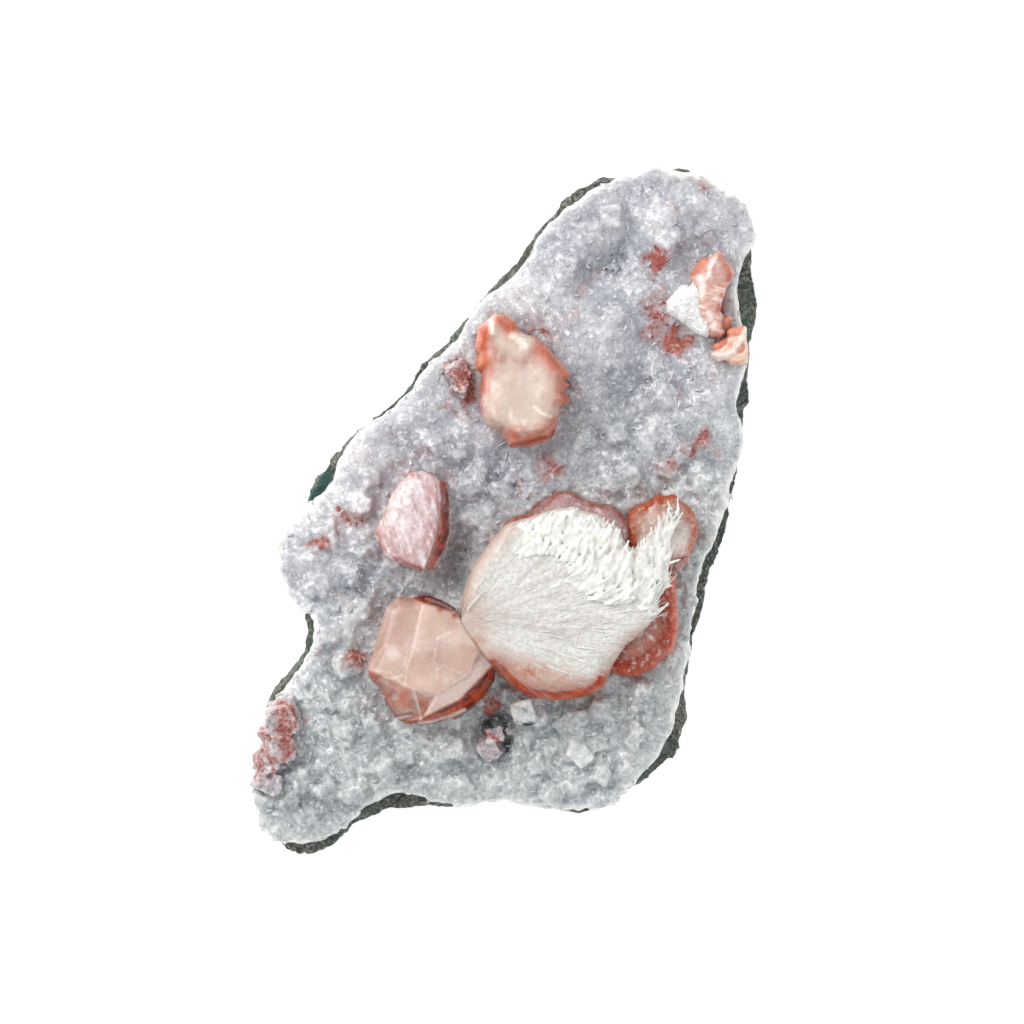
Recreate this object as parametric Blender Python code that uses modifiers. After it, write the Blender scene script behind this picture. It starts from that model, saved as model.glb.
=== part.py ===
"""An apophyllite specimen: peach stilbite on a crust of druse, on a plate of basalt.

The plate lies on its back. X runs across it, Y up its length, Z out of the crystal face.
The origin is in the middle of its box in X and Y, on the surface that it lies on.
Sizes and places in the lists are millimetres, and MM turns them into Blender's metres.
"""

import math
import random

import bmesh
import bpy
from mathutils import Euler, Matrix, Vector, noise

MM = 0.001

# Driving dimensions.
CONTACT = 19.0  # mean height of the contact between basalt and crust
CONTACT_WAVE = 2.4  # how far the contact rises and falls
FACE = 29.0  # mean height of the druse face
FACE_SWELL = 1.6  # broad rise and fall of that face
COBBLE = 1.3  # height of its rounded lumps
COBBLE_SPACING = 8.5
EDGE_ROLL = 2.5  # the crust thins over this width towards its broken edge
EDGE_DROP = 1.6
GAP = 0.35  # how far a pocket stands back from the crystal in it
SEAM = 0.3  # between the basalt and the crust
GRAIN = 3  # seed of the scattered crystals

# Size of the voxels that a rough solid is first made of, and its triangles once thinned.
ROCK_VOXEL, ROCK_FACES = 2.2, 1300
CRUST_VOXEL, CRUST_FACES = 1.8, 2200

# The pale crust, from its top corner clockwise.
CRUST_OUTLINE = [
    (41, 90), (44, 88.6), (50, 88.3), (53, 86.5), (56, 84), (60, 81.5), (63.5, 78.8), (65, 73),
    (65.3, 68), (63, 63.5), (61.3, 62), (60.8, 59), (60, 55), (61, 52), (62.7, 50), (63.3, 41),
    (63, 36), (61, 30), (59.5, 27.5), (61, 24.5), (62.2, 20), (62, 16), (60.3, 12), (59.4, 5),
    (58, 0), (57, -4), (54.5, -8), (52.8, -12), (51, -17), (51, -21), (50.5, -25), (49.5, -29.5),
    (48.4, -33), (48.3, -37), (47, -44), (45.8, -51), (44.4, -56), (42.5, -61), (38.5, -67),
    (35.5, -69.8), (31.5, -73.5), (28, -76.5), (24, -78), (16, -78.3), (12, -78.6), (7, -77.5),
    (3, -76.4), (-1, -75.5), (-5, -76), (-10, -77.2), (-16, -76.8), (-25, -74.6), (-28.5, -73.8),
    (-31, -74.5), (-34.5, -77), (-38, -79), (-40.5, -81.5), (-43.5, -84), (-46.5, -86.3),
    (-50, -87.2), (-54, -88), (-57, -88), (-60, -86), (-62.5, -83.5), (-64.5, -80.5), (-65.5, -76),
    (-65.8, -70), (-65.3, -65), (-64.1, -60), (-60.6, -51.5), (-56.8, -45.7), (-53.2, -41.6),
    (-50.5, -37.5), (-51, -31.5), (-48, -28.5), (-50.5, -26.8), (-54, -25.8), (-56, -20.5),
    (-57.8, -17), (-59.3, -13), (-60, -9), (-59.6, -6.5), (-56.3, -4.4), (-51.4, 0.4), (-50, 3.2),
    (-47.3, 4), (-44.9, 6), (-45.4, 9), (-43.7, 12.2), (-40.4, 18), (-38.5, 20.5), (-35, 22.6),
    (-31, 24.5), (-28.5, 27.2), (-25.5, 30), (-23, 34.5), (-20.5, 38), (-16.5, 41), (-12.7, 43.5),
    (-10.5, 47.5), (-9, 51.5), (-6.5, 53.8), (-4.5, 56), (-1, 58.5), (2.5, 61), (5.5, 64.5),
    (7.2, 69), (9.5, 72.5), (13, 76.5), (17, 80), (21.5, 82.8), (25, 85.7), (29, 86.2), (34, 87.6),
    (38, 89.2),
]  # fmt: skip

# The basalt, which shows as a dark rim wherever it reaches past the crust.
ROCK_OUTLINE = [
    (40, 88.2), (43, 89.8), (46.5, 90.1), (49, 89.9), (51, 87.6), (55, 84), (60, 80.5), (63, 77.5),
    (64, 72), (64.4, 66), (65.2, 62), (66, 58), (65.6, 52), (64.7, 48), (63.8, 43), (63.2, 36),
    (63.6, 30), (63, 25), (61.3, 22), (60.8, 16), (61, 12), (60.8, 8.5), (59, 6), (59.4, 1),
    (58.7, -4), (57.4, -8), (56.3, -11.7), (53.6, -15.5), (52.3, -20), (52, -24.5), (51, -28),
    (49, -32.8), (47.6, -36), (47, -40), (47.7, -45.5), (46.3, -50), (46.5, -54), (45.8, -59),
    (44.6, -63.5), (41.5, -67), (37.5, -69.5), (33, -72), (28, -76), (23, -78.8), (19, -79.3),
    (16, -80), (13, -78.3), (7, -76.8), (0, -75), (-5, -75), (-10, -76.2), (-18, -77.2),
    (-26, -77.5), (-32, -78.4), (-37.5, -80.3), (-42, -84), (-44.5, -87), (-48, -88.8),
    (-52, -90.2), (-56, -89.5), (-60, -86.2), (-63.6, -83.8), (-64.4, -78), (-64.8, -70),
    (-64.2, -64), (-63, -58), (-62.7, -53), (-60.8, -49), (-56.5, -44.5), (-53.3, -39.6),
    (-52.4, -36), (-52, -31.5), (-52.3, -27), (-54.5, -23), (-56.8, -16), (-58.6, -10), (-58, -6),
    (-53, -0.5), (-51.2, 3.5), (-47.7, 9), (-42.3, 15), (-37.3, 21.8), (-33, 24.8), (-29, 27.5),
    (-26, 30.3), (-24, 33.8), (-21.5, 37.6), (-18, 40.7), (-14.5, 43.6), (-12.5, 45.6), (-10, 49.5),
    (-6.3, 54.4), (-3, 58.4), (0, 61.3), (3, 64.6), (6, 68.2), (9, 72.8), (12, 76.8), (15, 79.7),
    (18, 82.7), (22, 85.1), (26, 86.4), (33, 86.9),
]  # fmt: skip

# The basalt's tiers, from its widest down: the outline's scale, its shift, and both its ends.
ROCK_TIERS = [
    dict(scale=1.0, shift=(0, 0), low=9, high=34),
    dict(scale=0.95, shift=(-1.5, 1), low=3, high=12),
    dict(scale=0.87, shift=(2, -2.5), low=-4, high=5),
]

# Broad forms of the druse face: middle, half widths, turn in degrees, rise.
MOUNDS = [
    dict(at=(9, 57), half=(11, 6), turn=12, rise=3.2),
    dict(at=(24, 71), half=(9, 5), turn=25, rise=2.4),
    dict(at=(22, 81), half=(10, 4), turn=28, rise=1.6),
    dict(at=(39.5, 74.5), half=(4.5, 5), turn=0, rise=3.4),
    dict(at=(51, 77), half=(8, 5), turn=-30, rise=2.4),
    dict(at=(24, 44), half=(8, 7), turn=0, rise=3.2),
    dict(at=(33, 58), half=(6, 5), turn=30, rise=2.0),
    dict(at=(50, 24), half=(12, 9), turn=-20, rise=3.0),
    dict(at=(-38, 13), half=(9, 6), turn=40, rise=1.8),
    dict(at=(-48, -10), half=(8, 6), turn=0, rise=2.2),
    dict(at=(-41, -31), half=(7, 9), turn=-30, rise=2.4),
    dict(at=(5, -52), half=(4.5, 4.5), turn=0, rise=3.4),
    dict(at=(20, -64), half=(5.5, 5), turn=0, rise=2.8),
    dict(at=(-42, -58), half=(11, 8), turn=20, rise=1.6),
    dict(at=(35, 33), half=(16, 5), turn=50, rise=-3.0),
    dict(at=(25, 62), half=(12, 2.5), turn=35, rise=-2.6),
    dict(at=(-4, 10), half=(10, 8), turn=0, rise=-2.2),
    dict(at=(-12, -12), half=(5, 9), turn=-10, rise=-3.4),
    dict(at=(-1.5, -56.5), half=(4.0, 4.6), turn=0, rise=-9.0),
]

# Crystals that are one dome: outline, crown, and the root that it tapers to below the face.
# Rings are how far the outline is drawn in towards the crown, and its height.
FAN = dict(
    outline=[
        (-11, -29), (-10.8, -22), (-8.5, -15), (-4, -8.5), (0, -3.6), (4, -2), (8, 0.4), (14, 1.8),
        (19, 0.6), (24, -1.6), (29, -5), (32, -10), (36, -12), (41, -13), (40.6, -18), (39.6, -22),
        (39.6, -27), (36, -32), (31, -37), (27, -42), (23, -46.5), (17, -48.7), (11, -48.9),
        (5, -47.4), (0, -44.4), (-3.4, -40), (-7.5, -34.6),
    ],
    crown=(14, -21, 47.5),
    root=(10, -22, 23.5),
    rings=[(0.30, 24.2), (0.05, 29), (0, 33), (0.01, 37.8), (0.07, 41.6), (0.22, 44.8), (0.55, 47)],
)  # fmt: skip
FAN_LOBES = [
    dict(  # the dark lobe that shows above the fan
        outline=[(-1, -5), (3, -1.6), (6.5, -0.8), (10, 2.4), (14, 4.7), (17, 4.6), (21, 2.4),
                 (26, 1.2), (29.5, -0.6), (31.8, -4.4), (33, -10), (22, -16), (6, -14)],
        crown=(17, -5, 42),
        root=(17, -7, 24),
        rings=[(0.3, 24.8), (0.02, 29.5), (0, 34), (0.06, 37.5), (0.3, 40.5)],
    ),
    dict(  # the ribbed lobe at the upper right
        outline=[(31.4, -5), (31.6, -0.6), (33, 0.8), (36.5, 2.2), (40, 4.1), (43.4, 3.6),
                 (46.5, 1.2), (49, -1.5), (50, -5.5), (49.2, -9.5), (47.5, -13), (44.5, -15.2),
                 (40, -15.5), (34, -13)],
        crown=(40.5, -5.5, 43),
        root=(40, -6, 24.5),
        rings=[(0.35, 25.4), (0.04, 30), (0, 34), (0.08, 38), (0.35, 41.4)],
    ),
    dict(  # the red lobe at the lower right
        outline=[(36, -15.5), (43.4, -16), (44, -20), (43.8, -24), (44.8, -30), (44.8, -34),
                 (43, -37), (38.5, -40.6), (34, -42.9), (30, -43), (26.5, -41.5), (26, -32)],
        crown=(37, -29, 42),
        root=(36, -29, 23.8),
        rings=[(0.35, 24.8), (0.03, 29), (0, 33.5), (0.07, 37.5), (0.3, 40.6)],
    ),
    dict(  # the white spray that reaches up from the fan's right shoulder
        outline=[(29, -12), (33, -9.4), (36.5, -6.6), (39.4, -4.2), (40.5, -0.8), (44.6, 0.3),
                 (43, -3), (42, -7.5), (42.8, -11), (41.5, -16), (39.8, -20), (34, -20), (29, -17)],
        crown=(37, -12, 46),
        root=(36, -13, 30),
        rings=[(0.4, 31), (0.06, 36), (0, 41.5), (0.25, 44.6)],
    ),
]  # fmt: skip
SHEAF = dict(
    outline=[
        (-2.5, 51), (-5, 48.6), (-7.4, 46.6), (-8, 42), (-8, 37.2), (-6.5, 36.2), (-6.7, 31),
        (-6.6, 26.5), (-4.6, 22), (-1.5, 19), (1, 16.3), (5, 16.3), (11, 17.9), (12.8, 20),
        (13.4, 23.5), (15.2, 26.8), (16.8, 28.4), (15.4, 30.4), (16.8, 32), (15.2, 33.4),
        (16.8, 35.8), (14, 39), (11, 43.2), (8, 45.2), (4.6, 46.2), (2.6, 48.4), (0, 50),
    ],
    crown=(4, 33, 43.8),
    root=(3.5, 34, 24.5),
    rings=[(0.4, 25.2), (0.12, 29), (0.01, 33.5), (0, 37), (0.07, 40.4), (0.22, 42.3), (0.55, 43.4)],
)  # fmt: skip
TUFT = dict(
    outline=[
        (49, 60.6), (51.5, 61), (53, 57), (52.6, 51), (53.6, 46.4), (50.2, 45.6), (47, 47.8),
        (44, 49.4), (42.3, 51), (42, 53.6), (43.2, 56.2), (45.2, 57.9), (47.2, 57.7),
    ],
    crown=(48, 53, 38.5),
    root=(49, 53, 27.2),
    rings=[(0.4, 27.6), (0.08, 30.5), (0, 33), (0.12, 36), (0.45, 38)],
)  # fmt: skip

# Crystals with flat faces, each the hull of its corners.
BLOCK_CORNERS = [
    (-28, -22.2, 36), (-24.5, -21.6, 38), (-20, -21.8, 38.5), (-14, -24.2, 38.5), (-11.8, -28, 38.5),
    (-7, -33.6, 40), (-4, -37.6, 38), (-3.7, -41.5, 33), (-7.5, -49, 33), (-15, -54.2, 33),
    (-22, -55.8, 33), (-26.8, -54.6, 33.5), (-29, -52.4, 34), (-33, -44.6, 35), (-35.2, -43.2, 33.5),
    (-35, -39, 34), (-31.6, -27.5, 35), (-26.5, -26, 43), (-21.5, -24.4, 44), (-13.4, -28, 44.5),
    (-7.6, -35.2, 44.5), (-10.5, -42.5, 46), (-17, -47.4, 46), (-22.5, -46.6, 45.8),
    (-29.5, -42.4, 43), (-30.4, -36.5, 43), (-22.6, -51.8, 40), (-27, -26, 25), (-14, -28, 25),
    (-8, -38, 25), (-13, -49, 25), (-24, -50, 25), (-31, -42, 25),
]  # fmt: skip
TABLET_CORNERS = [
    (-25, 10, 32), (-21, 10.5, 33), (-16, 8.2, 33), (-14.5, 6.2, 32), (-14.1, -1, 33),
    (-14.3, -6, 33), (-15.3, -10.5, 33), (-18.5, -15.5, 33), (-22, -15.9, 33.5), (-29, -13.2, 34),
    (-32.4, -10.4, 34), (-33.6, -6.8, 34), (-31, -1, 33.5), (-28.6, 6, 33), (-23.5, 7.4, 37.5),
    (-18, 6.4, 38.5), (-16.4, 0, 40.5), (-17.4, -8.6, 41.5), (-20.4, -12.8, 41.5),
    (-25.5, -12.4, 41), (-30, -8.2, 40.5), (-28.6, -1, 39.5), (-26, 4.6, 38.5), (-24, 5, 24.5),
    (-18, 4, 24.5), (-18, -9, 24.5), (-27, -9, 24.5),
]  # fmt: skip
SPUR_CORNERS = [
    (51.4, 65.2, 33), (55.5, 66.9, 35), (59.6, 61, 35), (58.4, 57.4, 34), (56.8, 54, 34),
    (58.6, 49, 32), (56.5, 45.2, 32), (53.4, 45.6, 33), (48.4, 61.6, 32), (49.4, 64.4, 32),
    (53, 63, 38.5), (57, 61, 38.5), (55, 56, 39.5), (55, 50, 38), (52.6, 53, 38),
    (52, 61, 27), (56, 59, 27), (55, 49, 27),
]  # fmt: skip
EDGE_CORNERS = [
    (57.6, 46.5, 35), (60, 47.5, 36), (62.4, 47.2, 35), (62.8, 43, 34), (62.9, 38.4, 33),
    (58, 38, 33), (53.4, 40.3, 33), (54, 42.6, 34), (59, 44.5, 38.5), (61, 41.5, 38),
    (57, 41.6, 37.5), (58, 44, 27), (61, 44, 27), (60, 40, 27), (56.5, 41, 27),
]  # fmt: skip

# Small crystals that share a root: middle, size, and the turn of each.
EDGE_CLUSTER = [
    dict(at=(-57.3, -53.8, 32), size=(7, 7.4, 9), turn=(14, -10, 20)),
    dict(at=(-60, -57.4, 31), size=(6.4, 5.6, 8), turn=(-8, 12, 48)),
    dict(at=(-58.6, -61.6, 31.5), size=(6.2, 6.4, 8), turn=(10, 16, 8)),
    dict(at=(-61.4, -65.6, 30.5), size=(5.6, 6.4, 8), turn=(-12, -8, 30)),
    dict(at=(-61.8, -70.8, 30), size=(5.2, 6, 7.6), turn=(12, 6, 62)),
]
VUG_CRYSTALS = [
    dict(at=(-4.2, -61.8, 30), size=(4.6, 5, 7), turn=(12, -8, 34)),
    dict(at=(-3, -59, 30), size=(3.6, 3.4, 6.5), turn=(-10, 12, 10)),
]
SATELLITE = [
    dict(at=(-12.6, 35.8, 31), size=(5, 5, 7), turn=(10, 8, 26)),
    dict(at=(-11.6, 31.6, 31), size=(3.6, 3.8, 6.4), turn=(-8, 12, 60)),
]

# The pseudo-cubic crystals that stand out of the druse.
DRUSE_COUNT = 58
DRUSE_SIZE = (3.0, 5.6)
DRUSE_TRUNCATION = 0.24  # of the crystal's size, off each corner
DRUSE_TILT = 30  # degrees
DRUSE_SQUARE = 0.5  # the share of them that keep their corners
SMOOTH_END = 18  # above this Y the crust is smooth lumps, with few crystals
SMOOTH_SHARE = 0.25  # of the crystals that would grow there
DRUSE_CLEARANCE = 2.2  # between them and the crust's edge or a large crystal
BEVELLED_CORNER = 0.22  # of a small crystal's size

# Each material's colour and roughness.
FINISHES = {
    "basalt": ((0.055, 0.062, 0.056), 0.9),
    "druse": ((0.60, 0.63, 0.69), 0.35),
    "stilbite_white": ((0.80, 0.75, 0.68), 0.5),
    "stilbite_peach": ((0.78, 0.56, 0.47), 0.3),
    "stilbite_red": ((0.58, 0.22, 0.14), 0.35),
    "scolecite": ((0.86, 0.83, 0.79), 0.8),
}
CRYSTAL_FINISH = {
    "stilbite_fan": "stilbite_white",
    "stilbite_block": "stilbite_peach",
    "stilbite_tablet": "stilbite_peach",
    "stilbite_sheaf": "stilbite_peach",
    "stilbite_spur": "stilbite_red",
    "scolecite_tuft": "scolecite",
    "stilbite_edge_crystal": "stilbite_peach",
    "stilbite_red_cluster": "stilbite_red",
    "stilbite_vug_crystals": "stilbite_peach",
    "stilbite_satellite": "stilbite_red",
}


def clear_scene():
    for obj in list(bpy.data.objects):
        bpy.data.objects.remove(obj)


def new_collection(name):
    collection = bpy.data.collections.new(name)
    bpy.context.scene.collection.children.link(collection)
    return collection


def make_materials():
    made = {}
    for name, (colour, roughness) in FINISHES.items():
        material = bpy.data.materials.new(name)
        material.use_nodes = True
        shader = material.node_tree.nodes["Principled BSDF"]
        shader.inputs["Base Color"].default_value = (*colour, 1)
        shader.inputs["Roughness"].default_value = roughness
        shader.inputs["Metallic"].default_value = 0
        made[name] = material
    return made


def new_object(name, mesh, collection):
    obj = bpy.data.objects.new(name, mesh)
    collection.objects.link(obj)
    return obj


def mesh_object(name, shape, collection):
    """An object made of a bmesh, whose lengths are in millimetres."""
    bmesh.ops.scale(shape, vec=(MM, MM, MM), verts=shape.verts)
    bmesh.ops.recalc_face_normals(shape, faces=shape.faces)
    mesh = bpy.data.meshes.new(name)
    shape.to_mesh(mesh)
    shape.free()
    return new_object(name, mesh, collection)


def applied(obj):
    """The same object as a plain welded mesh, with its modifiers and its place in the mesh."""
    bpy.context.view_layer.update()
    evaluated = obj.evaluated_get(bpy.context.evaluated_depsgraph_get())
    mesh = bpy.data.meshes.new_from_object(evaluated)
    mesh.transform(obj.matrix_world)
    shape = bmesh.new()
    shape.from_mesh(mesh)
    bmesh.ops.remove_doubles(shape, verts=shape.verts, dist=0.002 * MM)
    shape.to_mesh(mesh)
    shape.free()
    name, collection = obj.name, obj.users_collection[0]
    bpy.data.objects.remove(obj)
    return new_object(name, mesh, collection)


def remesh(obj, voxel):
    modifier = obj.modifiers.new("Voxels", "REMESH")
    modifier.mode = "VOXEL"
    modifier.voxel_size = voxel * MM
    return applied(obj)


def thin(obj, triangles):
    obj.data.calc_loop_triangles()
    modifier = obj.modifiers.new("Thin", "DECIMATE")
    modifier.ratio = min(1, triangles / len(obj.data.loop_triangles))
    modifier.use_collapse_triangulate = True
    return applied(obj)


def boolean(obj, other, operation):
    modifier = obj.modifiers.new(operation.title(), "BOOLEAN")
    modifier.operation = operation
    modifier.object = other
    return applied(obj)


def keep_largest(obj):
    """Drops any chip that a cut has left beside the main body."""
    shape = bmesh.new()
    shape.from_mesh(obj.data)
    left, bodies = set(shape.verts), []
    while left:
        front = [left.pop()]
        body = set(front)
        while front:
            for edge in front.pop().link_edges:
                for vert in edge.verts:
                    if vert in left:
                        left.remove(vert)
                        body.add(vert)
                        front.append(vert)
        bodies.append(body)
    main = max(bodies, key=len)
    bmesh.ops.delete(shape, geom=[v for v in shape.verts if v not in main], context="VERTS")
    shape.to_mesh(obj.data)
    shape.free()


def prism(name, outline, low, high, collection, scale=1.0, shift=(0, 0)):
    """A flat outline, scaled about the origin, shifted, and drawn up from low to high."""
    curve = bpy.data.curves.new(name, "CURVE")
    curve.dimensions = "2D"
    curve.fill_mode = "BOTH"
    curve.extrude = (high - low) / 2 * MM
    spline = curve.splines.new("POLY")
    spline.points.add(len(outline) - 1)
    spline.use_cyclic_u = True
    for point, (x, y) in zip(spline.points, outline):
        point.co = ((x * scale + shift[0]) * MM, (y * scale + shift[1]) * MM, 0, 1)
    obj = new_object(name, curve, collection)
    obj.location.z = (low + high) / 2 * MM
    return applied(obj)


def joined(name, parts, collection):
    """Several objects in one mesh, still as separate bodies."""
    shape = bmesh.new()
    for part in parts:
        shape.from_mesh(part.data)
        bpy.data.objects.remove(part)
    mesh = bpy.data.meshes.new(name)
    shape.to_mesh(mesh)
    shape.free()
    return new_object(name, mesh, collection)


def fractal(x, y, z, size, octaves=3):
    """Smooth noise of about -1 to 1 whose largest lumps are one size across."""
    point = Vector((x, y, z)) / size
    return noise.fractal(point, 1.0, 2.0, octaves)


def edge_distance(x, y, outline):
    """How far a point is from the nearest stretch of a closed outline."""
    point, nearest = Vector((x, y)), math.inf
    for start, end in zip(outline, outline[1:] + outline[:1]):
        start, run = Vector(start), Vector(end) - Vector(start)
        share = max(0, min(1, (point - start).dot(run) / run.length_squared))
        nearest = min(nearest, (start + run * share - point).length)
    return nearest


def inside(x, y, outline):
    """Whether a point lies within a closed outline."""
    found = False
    for (ax, ay), (bx, by) in zip(outline, outline[1:] + outline[:1]):
        if (ay > y) != (by > y) and x < ax + (y - ay) / (by - ay) * (bx - ax):
            found = not found
    return found


def contact_height(x, y):
    return CONTACT + CONTACT_WAVE * fractal(x, y, 0, 42, 2)


def face_height(x, y):
    """Height of the druse face, with its broad forms and its rounded lumps."""
    height = FACE + FACE_SWELL * fractal(x, y, 5, 34, 2)
    for mound in MOUNDS:
        offset = Vector((x, y)) - Vector(mound["at"])
        angle = math.radians(mound["turn"])
        along = (offset.x * math.cos(angle) + offset.y * math.sin(angle)) / mound["half"][0]
        across = (offset.y * math.cos(angle) - offset.x * math.sin(angle)) / mound["half"][1]
        height += mound["rise"] * math.exp(-(along**2) - across**2)
    nearest = noise.voronoi(Vector((x, y, 0)) / COBBLE_SPACING)[0][0]
    height += COBBLE * (1 - min(1, 1.5 * nearest) ** 2)
    roll = max(0, 1 - edge_distance(x, y, CRUST_OUTLINE) / EDGE_ROLL)
    return height - EDGE_DROP * roll**2


def contact_block(name, lift, depth, collection):
    """The space on one side of the contact: above it where depth is positive, else below."""
    shape = bmesh.new()
    bmesh.ops.create_grid(shape, x_segments=15, y_segments=20, size=1)
    for vert in shape.verts:
        x, y = vert.co.x * 75, vert.co.y * 100
        vert.co = (x, y, contact_height(x, y) + lift)
    bmesh.ops.triangulate(shape, faces=shape.faces, quad_method="FIXED")
    raised = bmesh.ops.extrude_face_region(shape, geom=shape.faces[:])["geom"]
    for vert in raised:
        if isinstance(vert, bmesh.types.BMVert):
            vert.co.z += depth
    return mesh_object(name, shape, collection)


def make_rock(collection, cutters):
    """The basalt: stacked tiers, roughened, cut flat below and along the contact above."""
    tiers = [
        prism(f"tier_{i}", ROCK_OUTLINE, collection=cutters, **tier)
        for i, tier in enumerate(ROCK_TIERS)
    ]
    rock = remesh(joined("basalt_matrix", tiers, collection), ROCK_VOXEL)
    for vert in rock.data.vertices:
        x, y, z = vert.co / MM
        out = vert.normal
        rough = 1.1 * fractal(x, y, z, 16) + 0.6 * fractal(x, y, z, 5, 2)
        if out.z < -0.6 and z < -2:  # the underside, hollowed here and there
            vert.co.z = (-1.6 + 3.6 * fractal(x, y, 9, 26, 2)) * MM
        elif z < 26:
            side = Vector((out.x, out.y, out.z * 0.5))
            depth = max(0, min(1, (15 - z) / 12))
            vert.co += side * (rough * (0.6 + 1.8 * depth) + 0.2 - 1.3 * depth) * MM
    rock = thin(remesh(rock, ROCK_VOXEL), ROCK_FACES)
    ground = bmesh.new()
    bmesh.ops.create_cube(ground, size=1)
    bmesh.ops.scale(ground, vec=(200, 260, 40), verts=ground.verts)
    bmesh.ops.translate(ground, vec=(0, 0, -20), verts=ground.verts)
    rock = boolean(rock, mesh_object("ground_cut", ground, cutters), "DIFFERENCE")
    above = contact_block("above_contact", 0, 40, cutters)
    rock = boolean(rock, above, "DIFFERENCE")
    keep_largest(rock)
    return rock


def make_crust(collection, cutters):
    """The crust without its crystals: its outline drawn up, shaped, and cut at the contact."""
    low, high = 8.0, FACE
    crust = remesh(prism("druse_crust", CRUST_OUTLINE, low, high, collection), CRUST_VOXEL)
    for vert in crust.data.vertices:
        x, y, z = vert.co / MM
        out = vert.normal
        share = (z - low) / (high - low)
        if share > 0.3:
            z = low + share * (face_height(x, y) - low)
        rough = (0.5 * fractal(x, y, z, 6) + 0.2) * (1 - abs(out.z))
        vert.co = Vector((x + out.x * rough, y + out.y * rough, z)) * MM
    crust = thin(remesh(crust, CRUST_VOXEL), CRUST_FACES)
    below = contact_block("below_contact", SEAM, -40, cutters)
    crust = boolean(crust, below, "DIFFERENCE")
    keep_largest(crust)
    return crust


def small_crystal(name, at, size, turn, truncation, collection):
    """A box with its corners cut, which is how apophyllite and small stilbite crystals end."""
    shape = bmesh.new()
    bmesh.ops.create_cube(shape, size=1)
    upper = [vert for vert in shape.verts if vert.co.z > 0]
    if truncation:
        bmesh.ops.bevel(shape, geom=upper, offset=truncation, segments=1, affect="VERTICES")
    bmesh.ops.scale(shape, vec=size, verts=shape.verts)
    rotation = Euler([math.radians(angle) for angle in turn]).to_matrix()
    bmesh.ops.rotate(shape, matrix=rotation, verts=shape.verts)
    bmesh.ops.translate(shape, vec=at, verts=shape.verts)
    return mesh_object(name, shape, collection)


def fused(name, parts, collection, cutters):
    """Crystals that have grown through each other as one solid, and the room for each of them."""
    rooms = [swollen(part, cutters) for part in parts]
    whole = new_object(name, parts[0].data.copy(), collection)
    for part in parts[1:]:
        whole = boolean(whole, part, "UNION")
    for part in parts:
        bpy.data.objects.remove(part)
    return whole, rooms


def cluster(name, crystals, collection, cutters):
    """Small crystals that share a root."""
    parts = [
        small_crystal(f"{name}_{i}", each["at"], each["size"], each["turn"], BEVELLED_CORNER, cutters)
        for i, each in enumerate(crystals)
    ]
    return fused(name, parts, collection, cutters)


def dome(name, form, collection):
    """A closed form through rings of one outline, each drawn in towards the crown."""
    shape = bmesh.new()
    crown, root = Vector(form["crown"]), Vector(form["root"])
    rings = []
    for inset, height in form["rings"]:
        middle = crown if height > form["rings"][1][1] else root
        rings.append([
            shape.verts.new((x + (middle.x - x) * inset, y + (middle.y - y) * inset, height))
            for x, y in form["outline"]
        ])  # fmt: skip
    count = len(form["outline"])
    for lower, upper in zip(rings, rings[1:]):
        for i in range(count):
            j = (i + 1) % count
            shape.faces.new((lower[i], lower[j], upper[j], upper[i]))
    for ring, tip in ((rings[0], root), (rings[-1], crown)):
        point = shape.verts.new(tip)
        for i in range(count):
            shape.faces.new((ring[i], ring[(i + 1) % count], point))
    return mesh_object(name, shape, collection)


def hull(name, corners, collection):
    """The flat-faced solid whose corners these are."""
    shape = bmesh.new()
    for corner in corners:
        shape.verts.new(corner)
    made = bmesh.ops.convex_hull(shape, input=shape.verts)
    unused = [item for item in made["geom_interior"] if isinstance(item, bmesh.types.BMVert)]
    bmesh.ops.delete(shape, geom=unused, context="VERTS")
    return mesh_object(name, shape, collection)


def make_fan(collection, cutters):
    """The large fan with the lobes that have grown through it."""
    lobes = [dome(f"fan_{i}", form, cutters) for i, form in enumerate([FAN, *FAN_LOBES])]
    return fused("stilbite_fan", lobes, collection, cutters)


def lone(obj, cutters):
    """A crystal by itself, and the room for it."""
    return obj, [swollen(obj, cutters)]


def swollen(obj, cutters):
    """A copy that stands GAP proud of the object, to cut the room for it."""
    copy = new_object(f"room_for_{obj.name}", obj.data.copy(), cutters)
    modifier = copy.modifiers.new("Swell", "DISPLACE")
    modifier.strength = GAP * MM
    modifier.mid_level = 0
    return applied(copy)


def scatter_druse(crust, occupied, cutters):
    """The crust with the larger crystals of its druse fused to it."""
    draw = random.Random(GRAIN)
    placed = []
    while len(placed) < DRUSE_COUNT:
        x, y = draw.uniform(-66, 66), draw.uniform(-90, 91)
        size = draw.uniform(*DRUSE_SIZE)
        turn = (draw.uniform(-DRUSE_TILT, DRUSE_TILT), draw.uniform(-DRUSE_TILT, DRUSE_TILT))
        spin = draw.uniform(0, 90)
        cut = 0 if draw.random() < DRUSE_SQUARE else DRUSE_TRUNCATION
        if y > SMOOTH_END and draw.random() > SMOOTH_SHARE:
            continue
        near_edge = edge_distance(x, y, CRUST_OUTLINE) < size / 2 + DRUSE_CLEARANCE
        if near_edge or not inside(x, y, CRUST_OUTLINE):
            continue
        if any(
            inside(x, y, outline) or edge_distance(x, y, outline) < size / 2 + DRUSE_CLEARANCE
            for outline in occupied
        ):
            continue
        if any(math.dist((x, y), other[:2]) < (size + other[2]) * 0.62 for other in placed):
            continue
        placed.append((x, y, size, (*turn, spin), cut))
    for i, (x, y, size, turn, cut) in enumerate(placed):
        at = (x, y, face_height(x, y) + size * 0.02)
        crystal = small_crystal(f"druse_{i}", at, (size, size, size), turn, cut, cutters)
        crust = boolean(crust, crystal, "UNION")
        bpy.data.objects.remove(crystal)
    return crust


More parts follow.
